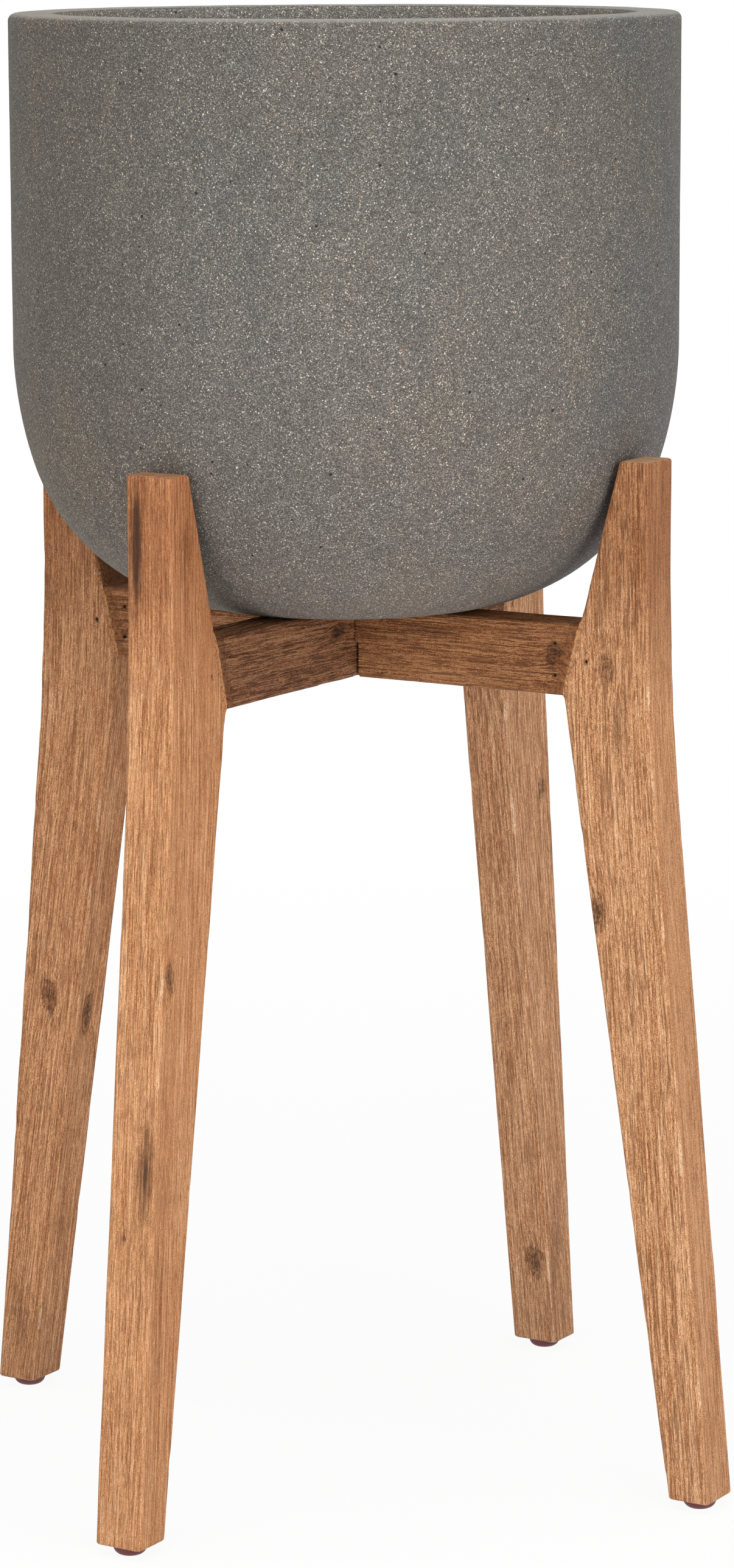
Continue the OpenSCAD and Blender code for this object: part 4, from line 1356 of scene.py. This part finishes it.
def build_camera(s):
    """The camera at its place round the stand, with its pitch, yaw and roll."""
    camera = bpy.data.objects.new("camera", bpy.data.cameras.new("camera"))
    camera.data.sensor_fit = "VERTICAL"
    camera.data.sensor_height = camera.data.sensor_width = 36.0
    camera.data.lens = s.focal
    camera.data.clip_end = 100.0
    around, ahead, down, roll = (math.radians(a) for a in (s.azimuth, s.azimuth + s.yaw, s.pitch, s.roll))
    camera.location = (s.distance * math.sin(around), -s.distance * math.cos(around), s.height)
    forward = Vector((-math.sin(ahead) * math.cos(down), math.cos(ahead) * math.cos(down), -math.sin(down)))
    level = forward.to_track_quat("-Z", "Y").to_matrix().to_4x4()
    camera.rotation_euler = (level @ Matrix.Rotation(roll, 4, "Z")).to_euler()
    return camera


def build_floor(s):
    """A wide disc that the camera sees as white, with the stand's own soft shadow left on it."""
    r = Recipe("white_floor")
    away = r.node("ShaderNodeVectorMath", {"operation": "LENGTH"}, {0: r.place()}, "Value")
    white = backdrop_share(r) * (0.93 + away.rise(0.5, 2.0) * 0.07)
    mixed = r.node("ShaderNodeMixShader", None, {
        0: white, 1: r.node("ShaderNodeBsdfDiffuse", None, {"Color": tuple(s.floor)}),
        2: r.node("ShaderNodeEmission", None, {"Color": (1.0, 1.0, 1.0), "Strength": 1.0}),
    })
    sides, radii = 96, (0.5, 1.5, 5.0, 20.0, 60.0)
    rings = [np.pad(arc(0, 0, radius, 0, 360, sides)[:-1], ((0, 0), (0, 1))) for radius in radii]
    index = np.arange(len(rings) * sides).reshape(len(rings), sides)
    floor = make_piece("floor", np.concatenate(rings), [band(index)[:, ::-1], index[:1]], smooth=False)
    floor.data.materials.append(r.show(mixed))


def build_surround(s):
    """White for the camera and in reflections, and an even light for everything else."""
    r = Recipe("surround", "worlds")
    strength = backdrop_share(r) * (1.0 - s.sky) + s.sky
    background = r.node("ShaderNodeBackground", None, {"Color": (1.0, 1.0, 1.0), "Strength": strength})
    return r.show(background, "ShaderNodeOutputWorld")


def build_lamp(name, power, size, at, aim):
    """A large square lamp, aimed at a point on the middle axis."""
    data = bpy.data.lights.new(name, "AREA")
    data.shape, data.size, data.energy = "SQUARE", size, power
    lamp = bpy.data.objects.new(name, data)
    lamp.location = at
    lamp.rotation_euler = (Vector(aim) - Vector(at)).to_track_quat("-Z", "Y").to_euler()
    lamp.visible_camera = False
    return lamp


class PLANTSTAND_OT_stage(bpy.types.Operator):
    """Set up the floor, the white surround, the lamps and the camera"""

    bl_idname = "plantstand.stage"
    bl_label = "Stage"

    def execute(self, context):
        s, scene = settings()[3], context.scene
        scene.view_settings.view_transform = "Standard"
        scene.camera = build_camera(s)
        scene.world = build_surround(s)
        build_floor(s)
        for made in (
            scene.camera,
            build_lamp("lamp_left", s.left, 1.5, (-2.05, -1.95, 0.95), (0, 0, 0.4)),
            build_lamp("lamp_right", s.right, 1.5, (0.95, -2.65, 0.95), (0, 0, 0.4)),
            build_lamp("lamp_top", s.top, 1.8, (0.0, -0.5, 2.6), (0, 0, 0.5)),
        ):
            scene.collection.objects.link(made)
        return {"FINISHED"}


class PLANTSTAND_PT_panel(bpy.types.Panel):
    """Lists the stand's pieces and their settings"""

    bl_label = "Plant Stand"
    bl_idname = "PLANTSTAND_PT_panel"
    bl_space_type = "VIEW_3D"
    bl_region_type = "UI"
    bl_category = "Plant Stand"

    def draw(self, context):
        for operator in OPERATORS:
            self.layout.operator(operator.bl_idname)
        for key, group in SETTINGS.items():
            box = self.layout.box()
            box.label(text=group.__doc__)
            for name in group.__annotations__:
                box.prop(getattr(context.scene, key), name)


SETTINGS = {
    "bowl_settings": BowlSettings, "wood_settings": WoodSettings,
    "trim_settings": TrimSettings, "stage_settings": StageSettings,
}
OPERATORS = (
    PLANTSTAND_OT_stage, PLANTSTAND_OT_bowl, PLANTSTAND_OT_legs, PLANTSTAND_OT_crossbars,
    PLANTSTAND_OT_putty, PLANTSTAND_OT_glides, PLANTSTAND_OT_fastenings,
)


def register():
    for group in SETTINGS.values():
        bpy.utils.register_class(group)
    for key, group in SETTINGS.items():
        setattr(bpy.types.Scene, key, bpy.props.PointerProperty(type=group))
    for operator in OPERATORS:
        bpy.utils.register_class(operator)
    bpy.utils.register_class(PLANTSTAND_PT_panel)


def unregister():
    bpy.utils.unregister_class(PLANTSTAND_PT_panel)
    for operator in reversed(OPERATORS):
        bpy.utils.unregister_class(operator)
    for key, group in SETTINGS.items():
        delattr(bpy.types.Scene, key)
        bpy.utils.unregister_class(group)


def main():
    register()
    for operator in OPERATORS:
        group, name = operator.bl_idname.split(".")
        getattr(getattr(bpy.ops, group), name)()


if __name__ == "__main__":
    main()
